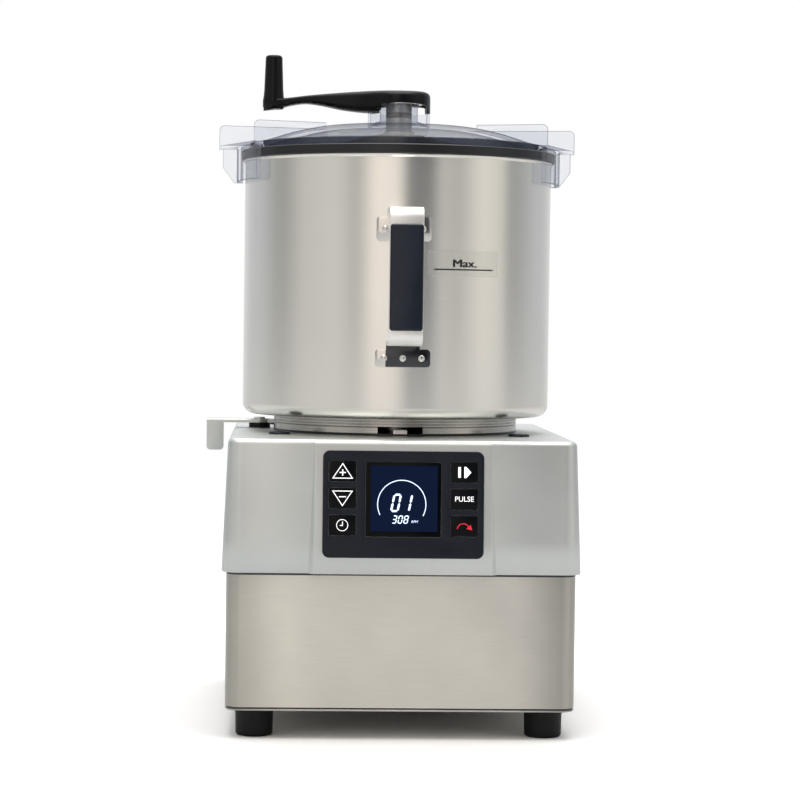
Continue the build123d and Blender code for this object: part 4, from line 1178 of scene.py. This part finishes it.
@dataclass
class Seat(Part):
    """What sits on the cover's top: seat ring, cap plugs and the lock lever with its spacer."""

    top: float = 220 * MM
    ring_bore: float = 33.05 * MM
    ring_radius: float = 95.5 * MM
    ring_wall: float = 6 * MM
    ring_height: float = 6.5 * MM
    ring_floor: float = 1.5 * MM
    shade: float = 1.8 * MM
    notch: float = 34 * MM
    plug_radius: float = 8.2 * MM
    plug_thick: float = 2 * MM
    socket: float = 3.4 * MM
    plug_x: float = 91 * MM
    plug_front: float = -80 * MM
    plug_back: float = 96 * MM
    lever_pivot: Point = (-107 * MM, 35 * MM)
    spacer_bore: float = 3.2 * MM
    spacer_radius: float = 8.5 * MM
    spacer_top: float = 223.9 * MM

    def ring(self) -> None:
        """Turns the seat ring, with its front notch and a dark foot for the narrow shadow under it."""
        outer, bore, wall, bevel = self.ring_radius, self.ring_bore, self.ring_wall, 0.6 * MM
        low, floor, high = self.top, self.top + self.ring_floor, self.top + self.ring_height
        inner, shaded = outer - wall, low + self.shade
        profile: Outline = [(bore, low), (outer, low), (outer, shaded), (outer, high - bevel)]
        profile += [(outer - bevel, high), (inner + bevel, high), (inner, high - bevel)]
        profile += [(inner, floor), (bore, floor)]
        ring = lathe("bowl_seat_turning", profile)
        opening = box_outline(self.notch, 20 * MM, 1 * MM, (0, -outer), 4)
        cut(ring, prism("notch", opening, floor, high + 5 * MM, level))

        def on_foot(face: Face) -> int:
            """Darkens the ring's foot on its outside."""
            outside = math.hypot(face.center.x, face.center.y) > outer - 0.5 * MM
            return int(outside and face.center.z < shaded)

        finish = "turned_ring seal_rubber"
        self.give(ring, Body.BASE, finish, "brushed_steel", "bowl_seat_ring", pick=on_foot)

    def plugs(self) -> None:
        """Makes the cap plugs with their hexagon sockets, one mesh for each."""
        r, low, high = self.plug_radius, self.top, self.top + self.plug_thick
        profile: Outline = [(0, high), (r - 0.8 * MM, high), (r - 0.2 * MM, high - 0.4 * MM)]
        profile += [(r, high - 0.9 * MM), (r, low), (0, low)]
        hexagon = arc((0, 0), self.socket, 0, 300, 5)
        for row, y in (("front", self.plug_front), ("back", self.plug_back)):
            for side, x in (("left", -self.plug_x), ("right", self.plug_x)):
                plug = lathe(f"plug_{row}_{side}_cap", profile, 48, False)
                cut(plug, prism("socket", hexagon, low + 0.7 * MM, low + 4 * MM, level))
                self.give(moved(plug, x, y), Body.BASE, "grip_nylon", "black_plastic", f"plug_{row}_{side}")

    def lever(self) -> None:
        """Makes the lever with rounded edges, and its spacer."""
        bore, r, low, high, bevel = self.spacer_bore, self.spacer_radius, self.top, self.spacer_top, 0.3 * MM
        profile = [(bore, low), (r, low), (r, high - bevel), (r - bevel, high), (bore, high)]
        spacer = moved(lathe("lever_spacer_turning", profile, 64), *self.lever_pivot)
        self.give(spacer, Body.BASE, "foot_rubber", "brushed_steel", "lever_spacer")
        plate = refined(self.nodes["lock_lever"], "lock_lever_plate", 0.35 * MM)
        self.give(plate, Body.LEVER, "satin_pressing", "polished_steel", "lock_lever")

    def build(self) -> None:
        """Builds everything on the cover's top."""
        self.ring()
        self.plugs()
        self.lever()


@dataclass
class Bowl(Part):
    """The lift-out bowl with its central chimney, foot ring, handle and level mark."""

    radius: float = 120 * MM
    wall: float = 1.5 * MM
    bottom: float = 233 * MM
    rim: float = 432.5 * MM
    round: float = 9 * MM
    bead: float = 2 * MM
    chimney: float = 19.5 * MM
    chimney_top: float = 320 * MM
    chimney_fillet: float = 3 * MM
    foot_radius: float = 95.5 * MM
    foot_low: float = 226.5 * MM
    foot_wall: float = 10 * MM
    groove: float = 0.6 * MM
    handle_width: float = 25 * MM
    handle_top: float = 390 * MM
    handle_bottom: float = 288.5 * MM
    handle_front: float = 166 * MM
    handle_bend: float = 9 * MM
    strap: float = 3 * MM
    grip_width: float = 24.3 * MM
    grip_thick: float = 5 * MM
    grip_low: float = 299.6 * MM
    grip_high: float = 377 * MM
    plate: float = 1.5 * MM
    plate_half: float = 20.5 * MM
    plate_neck: float = 12.5 * MM
    plate_corner: float = 2.5 * MM
    plate_rows: tuple[Spot, Spot] = ((366 * MM, 384 * MM, 390 * MM), (272.5 * MM, 285.5 * MM, 291.5 * MM))
    rivet_radius: float = 2.6 * MM
    rivet_height: float = 1.2 * MM
    rivet_pitch: float = 14 * MM
    upper_row: float = 375 * MM
    lower_row: float = 279 * MM
    mark_angle: float = 22.6
    mark_size: Point = (59 * MM, 19.5 * MM)
    mark_height: float = 350 * MM
    mark_line: Point = (49 * MM, 1 * MM)
    line_height: float = 345.5 * MM
    word_size: float = 8.2 * MM
    word_rise: float = 4.4 * MM
    word_bold: float = 0.3 * MM
    word_stretch: float = 1.3
    film: float = 0.12 * MM
    ink: float = 0.03 * MM

    def spun_shell(self) -> None:
        """Spins the bowl: wall, rounded bottom, chimney and rolled rim in one profile."""
        r, w, turn, bottom, fillet = self.radius, self.wall, self.round, self.bottom, self.chimney_fillet
        bead, bore, top, middle = self.bead, self.chimney, self.chimney_top, bottom + 90 * MM
        x, z = r - 0.5 * MM, self.rim - bead
        profile: Outline = [(bore - w, bottom)] + arc((r - turn, bottom + turn), turn, -90, 0, 10)
        profile += [(r, middle), (r, z - bead)] + arc((x, z), bead, -50, 180, 18)
        profile += [(r - w, z - bead), (r - w, middle)]
        profile += arc((r - turn, bottom + turn), turn - w, 0, -90, 10)
        profile += arc((bore + fillet, bottom + w + fillet), fillet, 270, 180, 6)
        profile += [(bore, top - 0.5 * MM), (bore - 0.4 * MM, top), (bore - w, top)]
        self.give(lathe("bowl_spinning", profile, 192), Body.BOWL, "spun_bowl", "bowl_steel", "bowl")

    def foot(self) -> None:
        """Turns the ring that the bowl stands on, with its two grooves."""
        r, low, high, g = self.foot_radius, self.foot_low, self.bottom, self.groove
        inner = r - self.foot_wall
        profile: Outline = [(inner, low), (r - 0.5 * MM, low), (r, low + 0.5 * MM)]
        for z in (low + (high - low) * share / 3 for share in (1, 2)):
            profile += [(r, z - 0.5 * MM), (r - g, z - 0.2 * MM), (r - g, z + 0.2 * MM), (r, z + 0.5 * MM)]
        profile += [(r, high - 0.4 * MM), (r - 0.4 * MM, high), (inner, high)]
        ring = lathe("bowl_foot_turning", profile)
        self.give(ring, Body.BOWL, "turned_ring", "brushed_steel", "bowl_foot_ring")

    def handle(self) -> None:
        """Bends the handle's flat strap and moulds the grip on its front."""
        t, bend, low, high = self.strap, self.handle_bend, self.handle_bottom, self.handle_top
        half, root, x = self.handle_width / 2, -(self.radius + 0.3 * MM), -self.handle_front + bend
        path: Outline = [(root, high)] + arc((x, high - bend), bend, 90, 180, 12)
        path += arc((x, low + bend), bend, 180, 270, 12) + [(root, low), (root, low + t)]
        path += arc((x, low + bend), bend - t, 270, 180, 12)
        path += arc((x, high - bend), bend - t, 180, 90, 12) + [(root, high - t)]
        strap = prism("handle_strap_bent", path, -half, half, sideways, edge=0.5 * MM)
        self.give(strap, Body.BOWL, "satin_strap", "polished_steel", "handle_strap")
        middle, front = (0, (self.grip_low + self.grip_high) / 2), -self.handle_front
        outline = box_outline(self.grip_width, self.grip_high - self.grip_low, 2.2 * MM, middle, 6)
        edge, end = 1.6 * MM, front - self.grip_thick
        grip = prism("handle_grip_moulding", outline, front, end, facing, edge=edge, edge_steps=5)
        self.give(grip, Body.BOWL, "grip_nylon", "black_plastic", "handle_grip")

    def wrap(self, x: float, z: float, depth: float, middle: float = 0.0) -> Spot:
        """Lays flat coordinates and a depth on the bowl's wall, round an angle."""
        turn, reach = middle + x / self.radius, self.radius + depth
        return reach * math.sin(turn), -reach * math.cos(turn), z

    def mark(self) -> None:
        """Sticks the level label on the bowl's wall: a film, a line and one word."""
        wrap, z = partial(self.wrap, middle=math.radians(self.mark_angle)), self.line_height
        shape = box_outline(*self.mark_size, 2 * MM, (0, self.mark_height))
        film = wrapped("level_label", shape, self.film, wrap)
        self.give(film, Body.BOWL, "label_film", "food_plastic")
        line = box_outline(*self.mark_line, 0, (0, z))
        bar = wrapped("level_line", line, self.ink, lambda x, y, d: wrap(x, y, d + self.film))
        self.give(bar, Body.BOWL, "label_ink", "black_plastic")

        def letters(shift: float) -> Piece:
            """Sets the word once, a little to one side: three of them make it bold."""
            stretch, rise, top = self.word_stretch, z + self.word_rise, self.film + self.ink
            return word_mesh(
                "word", "Max.", self.word_size, lambda x, y: wrap((x + shift) * stretch, y + rise, top)
            )

        word = merge("level_word", [letters(shift) for shift in (-self.word_bold, 0.0, self.word_bold)])
        self.give(word, Body.BOWL, "label_ink", "black_plastic")

    def plates(self) -> None:
        """Bends the two fixing plates round the wall; the lower one mirrors the handle's dark side."""
        half, neck, corner = self.plate_half, self.plate_neck, self.plate_corner
        pieces = []
        for low, high, top in self.plate_rows:
            corners = [(-half, low, corner), (half, low, corner), (half, high, corner), (neck, high, 0)]
            corners += [(neck, top, 0), (-neck, top, 0), (-neck, high, 0), (-half, high, corner)]
            pieces.append(wrapped("plate", rounded(corners, 5), self.plate, self.wrap, edge=0.3 * MM))
        plates = merge("handle_plates_bent", pieces)

        def shaded(face: Face) -> int:
            """Darkens the lower plate but for its left end."""
            return int(face.center.z < self.grip_low and face.center.x > -self.handle_width / 2)

        finish = "polished_fitting shaded_fitting"
        self.give(plates, Body.BOWL, finish, "polished_steel", "handle_plates", pick=shaded)

    def rivet_tree(self, inputs: dict[str, object]) -> bpy.types.NodeTree:
        """Makes the Geometry Nodes tree that sets domes on two rows of points round the wall.

        Args:
            inputs: A value for each input that the tree gets, by name.

        Returns:
            The tree.
        """
        tree = bpy.data.node_groups.new("rivet_rows", "GeometryNodeTree")
        tree.interface.new_socket("Geometry", in_out="OUTPUT", socket_type="NodeSocketGeometry")
        for label, value in inputs.items():
            kind = "NodeSocketFloat" if isinstance(value, float) else "NodeSocketMaterial"
            tree.interface.new_socket(label, in_out="INPUT", socket_type=kind)
        add = partial(add_node, tree)
        given = add("NodeGroupInput").outputs
        ball = add("GeometryNodeMeshUVSphere", {"Segments": 24, "Rings": 16, "Radius": given["Radius"]})
        squash = add("ShaderNodeMath", {0: given["Height"], 1: given["Radius"]}, operation="DIVIDE")
        scale = add("ShaderNodeCombineXYZ", {"X": 1.0, "Y": squash, "Z": 1.0})
        dome = add("GeometryNodeTransform", {"Geometry": ball, "Scale": scale})
        joined = add("GeometryNodeJoinGeometry")
        left = add("ShaderNodeMath", {0: given["Pitch"], 1: -1.0}, operation="MULTIPLY")
        step = add("ShaderNodeCombineXYZ", {"X": given["Pitch"]})
        for label in ("Upper Row", "Lower Row"):
            start = add("ShaderNodeCombineXYZ", {"X": left, "Z": given[label]})
            row = add("GeometryNodeMeshLine", {"Count": 3, "Start Location": start, "Offset": step})
            tree.links.new(row.outputs["Mesh"], joined.inputs["Geometry"])
        parts = add("ShaderNodeSeparateXYZ", {0: add("GeometryNodeInputPosition")})
        turn = add("ShaderNodeMath", {0: parts.outputs["X"], 1: given["Wall Radius"]}, operation="DIVIDE")
        across = add("ShaderNodeMath", {0: turn}, operation="SINE")
        out = add("ShaderNodeMath", {0: turn}, operation="COSINE")
        x = add("ShaderNodeMath", {0: across, 1: given["Wall Radius"]}, operation="MULTIPLY")
        y = add("ShaderNodeMath", {0: out, 1: given["Wall Radius"]}, operation="MULTIPLY")
        front = add("ShaderNodeMath", {0: y, 1: -1.0}, operation="MULTIPLY")
        place = add("ShaderNodeCombineXYZ", {"X": x, "Y": front, "Z": parts.outputs["Z"]})
        bent = add("GeometryNodeSetPosition", {"Geometry": joined, "Position": place})
        spin = add("ShaderNodeCombineXYZ", {"Z": turn})
        placed = add("GeometryNodeInstanceOnPoints", {"Points": bent, "Instance": dome, "Rotation": spin})
        real = add("GeometryNodeRealizeInstances", {"Geometry": placed})
        painted = add("GeometryNodeSetMaterial", {"Geometry": real, "Material": given["Material"]})
        add("NodeGroupOutput", {"Geometry": painted})
        return tree

    def rivets(self) -> None:
        """Sets the rivets with the tree and keeps them as a plain mesh."""
        inputs = {"Radius": self.rivet_radius, "Height": self.rivet_height, "Pitch": self.rivet_pitch}
        inputs |= {"Wall Radius": self.radius + self.plate}
        inputs |= {"Upper Row": self.upper_row, "Lower Row": self.lower_row}
        inputs |= {"Material": self.finishes["polished_fitting"]}
        rows = linked("handle_rivet_rows", bpy.data.meshes.new("handle_rivet_rows"))
        modifier = rows.modifiers.new("pattern", "NODES")
        modifier.node_group = self.rivet_tree(inputs)
        for item in modifier.node_group.interface.items_tree:
            if item.item_type == "SOCKET" and item.in_out == "INPUT":
                modifier[item.identifier] = inputs[item.name]
        self.give(bake(rows), Body.BOWL, "", "polished_steel", "handle_rivets")

    def build(self) -> None:
        """Builds the bowl and everything fixed to it."""
        self.spun_shell()
        self.foot()
        self.handle()
        self.plates()
        self.rivets()
        self.mark()


@dataclass
class Lid(Part):
    """The clear lid with its wings, black seal and o-ring."""

    seal_low: float = 432.8 * MM
    seal_high: float = 437.0 * MM
    seal_radius: float = 118.8 * MM
    seal_inner: float = 109.8 * MM
    lip_radius: float = 122.9 * MM
    lip_low: float = 430.9 * MM
    lip_high: float = 438.2 * MM
    bead_clear: float = 121.6 * MM
    rim_low: float = 438.4 * MM
    rim_high: float = 444.0 * MM
    rim_inner: float = 108 * MM
    rim_outer: float = 118.5 * MM
    neck_radius: float = 23 * MM
    edge: float = 0.7 * MM
    bush_radius: float = 10.15 * MM
    ring_low: float = 465.5 * MM
    ring_high: float = 470 * MM

    def seal(self) -> None:
        """Moulds the lid's seal, whose lip wraps the lid's rim and hides the bowl's bead."""
        low, high, inner, clear = self.seal_low, self.seal_high, self.seal_inner, self.bead_clear
        lip, lip_low, lip_high, edge = self.lip_radius, self.lip_low, self.lip_high, 0.6 * MM
        profile: Outline = [(inner, low), (clear, low), (clear, lip_low), (lip - edge, lip_low)]
        profile += [(lip, lip_low + edge), (lip, lip_high - edge), (lip - edge, lip_high)]
        profile += [(self.seal_radius, lip_high), (self.seal_radius - 1 * MM, high), (inner, high)]
        self.give(lathe("lid_seal_moulding", profile), Body.LID, "seal_rubber", "seal_rubber", "lid_seal")

    def ring(self) -> None:
        """Moulds the o-ring round the bush."""
        low, high, bulge = self.ring_low, self.ring_high, 0.8 * MM
        inner, middle, half = self.bush_radius - 2 * bulge, (low + high) / 2, (high - low) / 2
        profile = [(inner + bulge * (1 + u), middle + half * v) for u, v in arc((0, 0), 1.0, -90, 90, 12)]
        profile += [(inner, high), (inner, low)]
        ring = lathe("bush_ring_moulding", profile, 64)
        self.give(ring, Body.LID_CORE, "seal_rubber", "seal_rubber", "bush_ring")

    def cover(self) -> None:
        """Dresses the clear cover: dark over the seal, milky at the neck, grey along its bevelled edges."""
        cover = refined(self.nodes["lid_cover"], "lid_cover_moulding")
        verts = cover.data.vertices

        def pick(face: Face) -> int:
            """Picks the finish of a face by the reach of its corners."""
            spread = [math.hypot(verts[i].co.x, verts[i].co.y) for i in face.vertices]
            on_rim = self.rim_inner < min(spread) and max(spread) < self.rim_outer
            on_rim = on_rim and self.rim_low < face.center.z < self.rim_high
            return 1 if on_rim else 2 if max(spread) < self.neck_radius else 0

        self.paint(cover, "lid_polycarbonate lid_rim_over_seal lid_neck lid_edges", pick)
        soften(cover, self.edge, 1, 60, paint=3)
        self.give(cover, Body.LID, "", "clear_plastic", "lid_cover")

    def build(self) -> None:
        """Builds the lid."""
        self.seal()
        self.ring()
        self.cover()


@dataclass
class Crank(Part):
    """The crank: a hub that flows into its arm and upright grip, with the clear guard under the hub."""

    hub_radius: float = 24.65 * MM
    hub_low: float = 469.8 * MM
    hub_high: float = 486.7 * MM
    cavity_radius: float = 22.3 * MM
    cavity_top: float = 480.6 * MM
    guard_low: float = 458.6 * MM
    window: Point = (-14.6 * MM, 21 * MM)
    window_side: float = 474.6 * MM
    window_top: float = 476.6 * MM
    reach: float = 98.5 * MM
    grip_low: float = 471.2 * MM
    grip_cap: float = 511.2 * MM
    grip_round: float = 2.3 * MM
    washer_low: float = 476.4 * MM
    washer_thick: float = 1.6 * MM
    washer_inner: float = 16.4 * MM
    washer_outer: float = 18.8 * MM
    squareness: float = 4.5
    # Stations along the arm: X, half width, low and high in millimetres
    arm: tuple[tuple[float, float, float, float], ...] = (
        (-14, 20.3, 469.8, 486.7),
        (-24, 15.2, 469.8, 486.4),
        (-35, 12.2, 470.5, 485.7),
        (-47, 10.4, 472.0, 484.8),
        (-60, 9.2, 474.6, 483.6),
        (-73, 8.6, 476.0, 482.2),
        (-84, 8.4, 474.6, 480.7),
        (-92, 8.3, 472.6, 479.9),
        (-98.5, 8.3, 471.2, 480.0),
        (-103.5, 6.4, 470.4, 479.5),
        (-106.4, 2.6, 470.0, 478.5),
    )

    def stations(self) -> list[tuple[float, ...]]:
        """Lists the cross-sections from the hub's far side to the arm's end: X, half width, low and high."""
        low, tall = self.hub_low, self.hub_high - self.hub_low
        rows = []
        for x, wide in arc((0, 0), self.hub_radius, 3, 119, 29):
            share = (1 - max(x / self.hub_radius, 0) ** 7) ** (1 / 3)
            rows.append((x, wide, low, low + tall * (0.62 + 0.38 * share)))
        marks = [tuple(value * MM for value in row) for row in self.arm]
        padded = [marks[0], *marks, marks[-1]]
        for index in range(len(marks) - 1):
            knots = list(zip(*padded[index : index + 4]))
            # Six steps of a Catmull-Rom curve from each station to the next
            for t in (step / 6 for step in range(6)):
                rows.append(
                    tuple(
                        b + 0.5 * t * (c - a + t * (2 * a - 5 * b + 4 * c - d + t * (3 * (b - c) + d - a)))
                        for a, b, c, d in knots
                    )
                )
        return rows + [marks[-1]]

    def moulding(self) -> None:
        """Moulds hub, arm and grip."""
        power, circle = 2 / self.squareness, arc((0, 0), 1.0, 0, 352.5, 47)
        square = [(math.copysign(abs(u) ** power, u), math.copysign(abs(v) ** power, v)) for u, v in circle]
        rings = [
            [(x, u * wide, (low + high) / 2 + v * (high - low) / 2) for u, v in square]
            for x, wide, low, high in self.stations()
        ]
        hub = shell("hub", rings, True, 50)
        floor, top, r, edge = self.hub_low - 5 * MM, self.cavity_top, self.cavity_radius, 1 * MM
        cut(hub, lathe("cavity", [(0, floor), (r, floor), (r, top - edge), (r - edge, top), (0, top)], 96))
        cut(hub, self.opening(floor, self.hub_radius))
        z, cap, tip = self.grip_low, self.grip_cap, self.grip_round
        rows = ((0, 0), (7.4, 0.3), (8.5, 2), (8.5, 7), (7.9, 10.5), (7.5, 15), (6.6, 39.8))
        profile = [(radius * MM, z + rise * MM) for radius, rise in rows]
        profile += arc((4.3 * MM, cap), tip, 0, 90, 8) + [(0, cap + tip)]
        grip = moved(lathe("grip", profile, 64), -self.reach)
        crank = merge("crank_moulding", [hub, grip])
        self.give(crank, Body.CRANK, "crank_nylon", "black_plastic", "crank_arm")

    def opening(self, floor: float, back: float = 0.0) -> Piece:
        """Shapes the tool for the arched opening in hub and guard.

        Args:
            floor: Where it starts.
            back: How far back it goes along Y.

        Returns:
            The tool.
        """
        left, right = self.window
        middle, half, rise = (left + right) / 2, (right - left) / 2, self.window_top - self.window_side
        shape: Outline = [(left, floor), (right, floor)]
        shape += [(middle + half * u, self.window_side + rise * v) for u, v in arc((0, 0), 1.0, 0, 180, 12)]
        return prism("opening", shape, -40 * MM, back, facing)

    def washer(self) -> None:
        """Turns the bright ring inside the hub, over the neck."""
        inner, outer, z, edge = self.washer_inner, self.washer_outer, self.washer_low, 0.4 * MM
        top = z + self.washer_thick
        profile = [(inner, z), (outer - edge, z), (outer, z + edge), (outer, top), (inner, top)]
        self.give(lathe("hub_washer", profile, 96), Body.CRANK, "polished_fitting", "polished_steel")

    def guard(self) -> None:
        """Moulds the clear guard."""
        low, high = self.guard_low, self.hub_low
        inner, outer = self.hub_radius - 2 * MM, self.hub_radius - 0.3 * MM
        guard = lathe("crank_guard_moulding", [(inner, low), (outer, low), (outer, high), (inner, high)], 96)
        cut(guard, self.opening(low - 2 * MM))
        self.give(guard, Body.CRANK, "lid_polycarbonate", "clear_plastic", "crank_guard")

    def build(self) -> None:
        """Builds the crank."""
        self.moulding()
        self.washer()
        self.guard()


@dataclass
class Studio:
    """Floor, soft light all round and the camera at the photograph's place. Angles are in degrees."""

    camera_place: Spot = (-87.6 * MM, -2048 * MM, 309 * MM)
    heading: float = 2.556
    pitch: float = 1.81
    roll: float = 0.75
    lens: float = 116.9
    sensor: float = 36.0
    floor_reach: float = 4.0
    lamp_place: Spot = (0.0, -0.2, 2.2)
    lamp_aim: Spot = (0.0, 0.0, 0.2)
    lamp_side: float = 1.8
    lamp_watts: float = 26.0
    # Strips and flags round the machine: azimuth from the camera's side, colour and brightness
    strips: tuple[tuple[float, str, float], ...] = (
        (-180, "#FFFFFF", 0.8),
        (-130, "#F0F4FA", 0.64),
        (-98, "#F2F4F0", 0.38),
        (-72, "#F6F4EE", 0.66),
        (-50, "#F6F4EE", 0.7),
        (-33, "#F4F2EE", 0.46),
        (-17, "#FFF4EC", 1.06),
        (-4, "#FFF6F0", 1.0),
        (8, "#E8ECF6", 0.1),
        (20, "#E8ECF6", 0.08),
        (32, "#F6F4F0", 0.56),
        (42, "#F6F4F0", 0.46),
        (66, "#FFFBF4", 0.84),
        (78, "#FFFBF4", 0.76),
        (92, "#F2F4F6", 0.38),
        (128, "#F0F4FA", 0.62),
        (180, "#FFFFFF", 0.8),
    )
    # Brightness from straight below to straight above
    heights: tuple[Point, ...] = ((0.0, 0.8), (0.5, 1.0), (0.64, 1.0), (0.8, 1.5), (1.0, 2.6))

    def camera(self) -> None:
        """Sets the camera up."""
        data = bpy.data.cameras.new("camera")
        data.lens, data.sensor_width = self.lens, self.sensor
        camera = linked("camera", data)
        turn = Matrix.Rotation(math.radians(-self.heading), 4, "Z")
        tilt = Matrix.Rotation(math.radians(90 - self.pitch), 4, "X")
        lean = Matrix.Rotation(math.radians(self.roll), 4, "Z")
        camera.matrix_world = Matrix.Translation(self.camera_place) @ turn @ tilt @ lean
        bpy.context.scene.camera = camera

    def floor(self) -> None:
        """Lays the pale floor: card with a faint fibre, which mirrors less brightly than it looks."""
        build = bmesh.new()
        bmesh.ops.create_grid(build, x_segments=8, y_segments=8, size=self.floor_reach)
        floor = new_object("floor", build)
        material, add, place = new_material("floor_card")
        fibre = add("ShaderNodeTexNoise", {"Vector": place, "Scale": 300.0, "Detail": 3.0})
        tone = add("ShaderNodeMapRange", {"Value": fibre, "To Min": 0.985, "To Max": 1.0})
        mirrored = add("ShaderNodeLightPath").outputs["Is Glossy Ray"]
        dim = add("ShaderNodeMapRange", {"Value": mirrored, "To Min": 1.0, "To Max": 0.6})
        colour = linear("#FDFDFD")[:3]
        for factor in (tone, dim):
            colour = add("ShaderNodeVectorMath", {0: colour, "Scale": factor}, operation="SCALE")
        add("ShaderNodeOutputMaterial", {0: add("ShaderNodeBsdfDiffuse", {"Color": colour})})
        floor.data.materials.append(material)

    def ramp(
        self, node: Node, stops: Sequence[tuple[float, Sequence[float]]], interpolation: str = "LINEAR"
    ) -> None:
        """Fills a colour ramp.

        Args:
            node: The ramp's node.
            stops: Place and colour of each stop, in order.
            interpolation: How it goes from stop to stop.
        """
        ramp = node.color_ramp
        ramp.interpolation = interpolation
        while len(ramp.elements) > 1:
            ramp.elements.remove(ramp.elements[0])
        for index, (place, colour) in enumerate(stops):
            stop = ramp.elements.new(place) if index else ramp.elements[0]
            stop.position = place
            stop.color = (*colour, 1)

    def world(self) -> None:
        """Builds the studio's light: white behind for the camera, strips and flags all round for the rest."""
        world = bpy.data.worlds.new("studio")
        bpy.context.scene.world = world
        world.use_nodes = True
        world.node_tree.nodes.clear()
        add = partial(add_node, world.node_tree)
        parts = add("ShaderNodeSeparateXYZ", {0: add("ShaderNodeTexCoord")})
        back = add("ShaderNodeMath", {0: parts.outputs[1], 1: -1.0}, operation="MULTIPLY")
        turn = add("ShaderNodeMath", {0: parts.outputs[0], 1: back}, operation="ARCTAN2")
        share = add("ShaderNodeMapRange", {"Value": turn, "From Min": -math.pi, "From Max": math.pi})
        bands = add("ShaderNodeValToRGB", {"Fac": share})
        colours = [
            ((angle + 180) / 360, [channel * power for channel in linear(code)[:3]])
            for angle, code, power in self.strips
        ]
        self.ramp(bands, colours, "EASE")
        lift = add("ShaderNodeMapRange", {"Value": parts.outputs[2], "From Min": -1.0, "From Max": 1.0})
        height = add("ShaderNodeValToRGB", {"Fac": lift})
        self.ramp(height, [(place, (value,) * 3) for place, value in self.heights])
        light = add("ShaderNodeVectorMath", {0: bands, 1: height}, operation="MULTIPLY")
        soft = add("ShaderNodeBackground", {"Color": light, "Strength": 1.0})
        white = add("ShaderNodeBackground", {"Color": (1, 1, 1, 1), "Strength": 1.0})
        rays = add("ShaderNodeLightPath").outputs
        links = {0: rays["Is Camera Ray"], 1: rays["Is Transmission Ray"]}
        seen = add("ShaderNodeMath", links, operation="MAXIMUM")
        add("ShaderNodeOutputWorld", {0: add("ShaderNodeMixShader", {0: seen, 1: soft, 2: white})})

    def lamp(self) -> None:
        """Hangs the soft light overhead."""
        data = bpy.data.lights.new("overhead", "AREA")
        data.shape, data.size, data.energy = "SQUARE", self.lamp_side, self.lamp_watts
        way = Vector(self.lamp_aim) - Vector(self.lamp_place)
        turn = way.to_track_quat("-Z", "Y").to_matrix().to_4x4()
        linked("overhead", data).matrix_world = Matrix.Translation(self.lamp_place) @ turn

    def build(self) -> None:
        """Builds the studio."""
        self.camera()
        self.floor()
        self.world()
        self.lamp()
        bpy.context.scene.view_settings.view_transform = "Standard"


def main() -> None:
    """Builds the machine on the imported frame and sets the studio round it."""
    logging.basicConfig(level=logging.INFO, format="%(name)s: %(message)s")
    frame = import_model()
    finishes = make_finishes()
    Studio().build()
    for part in (Solids, Casing, Panel, Seat, Bowl, Lid, Crank):
        part(finishes, frame["nodes"]).build()


if __name__ == "__main__":
    main()
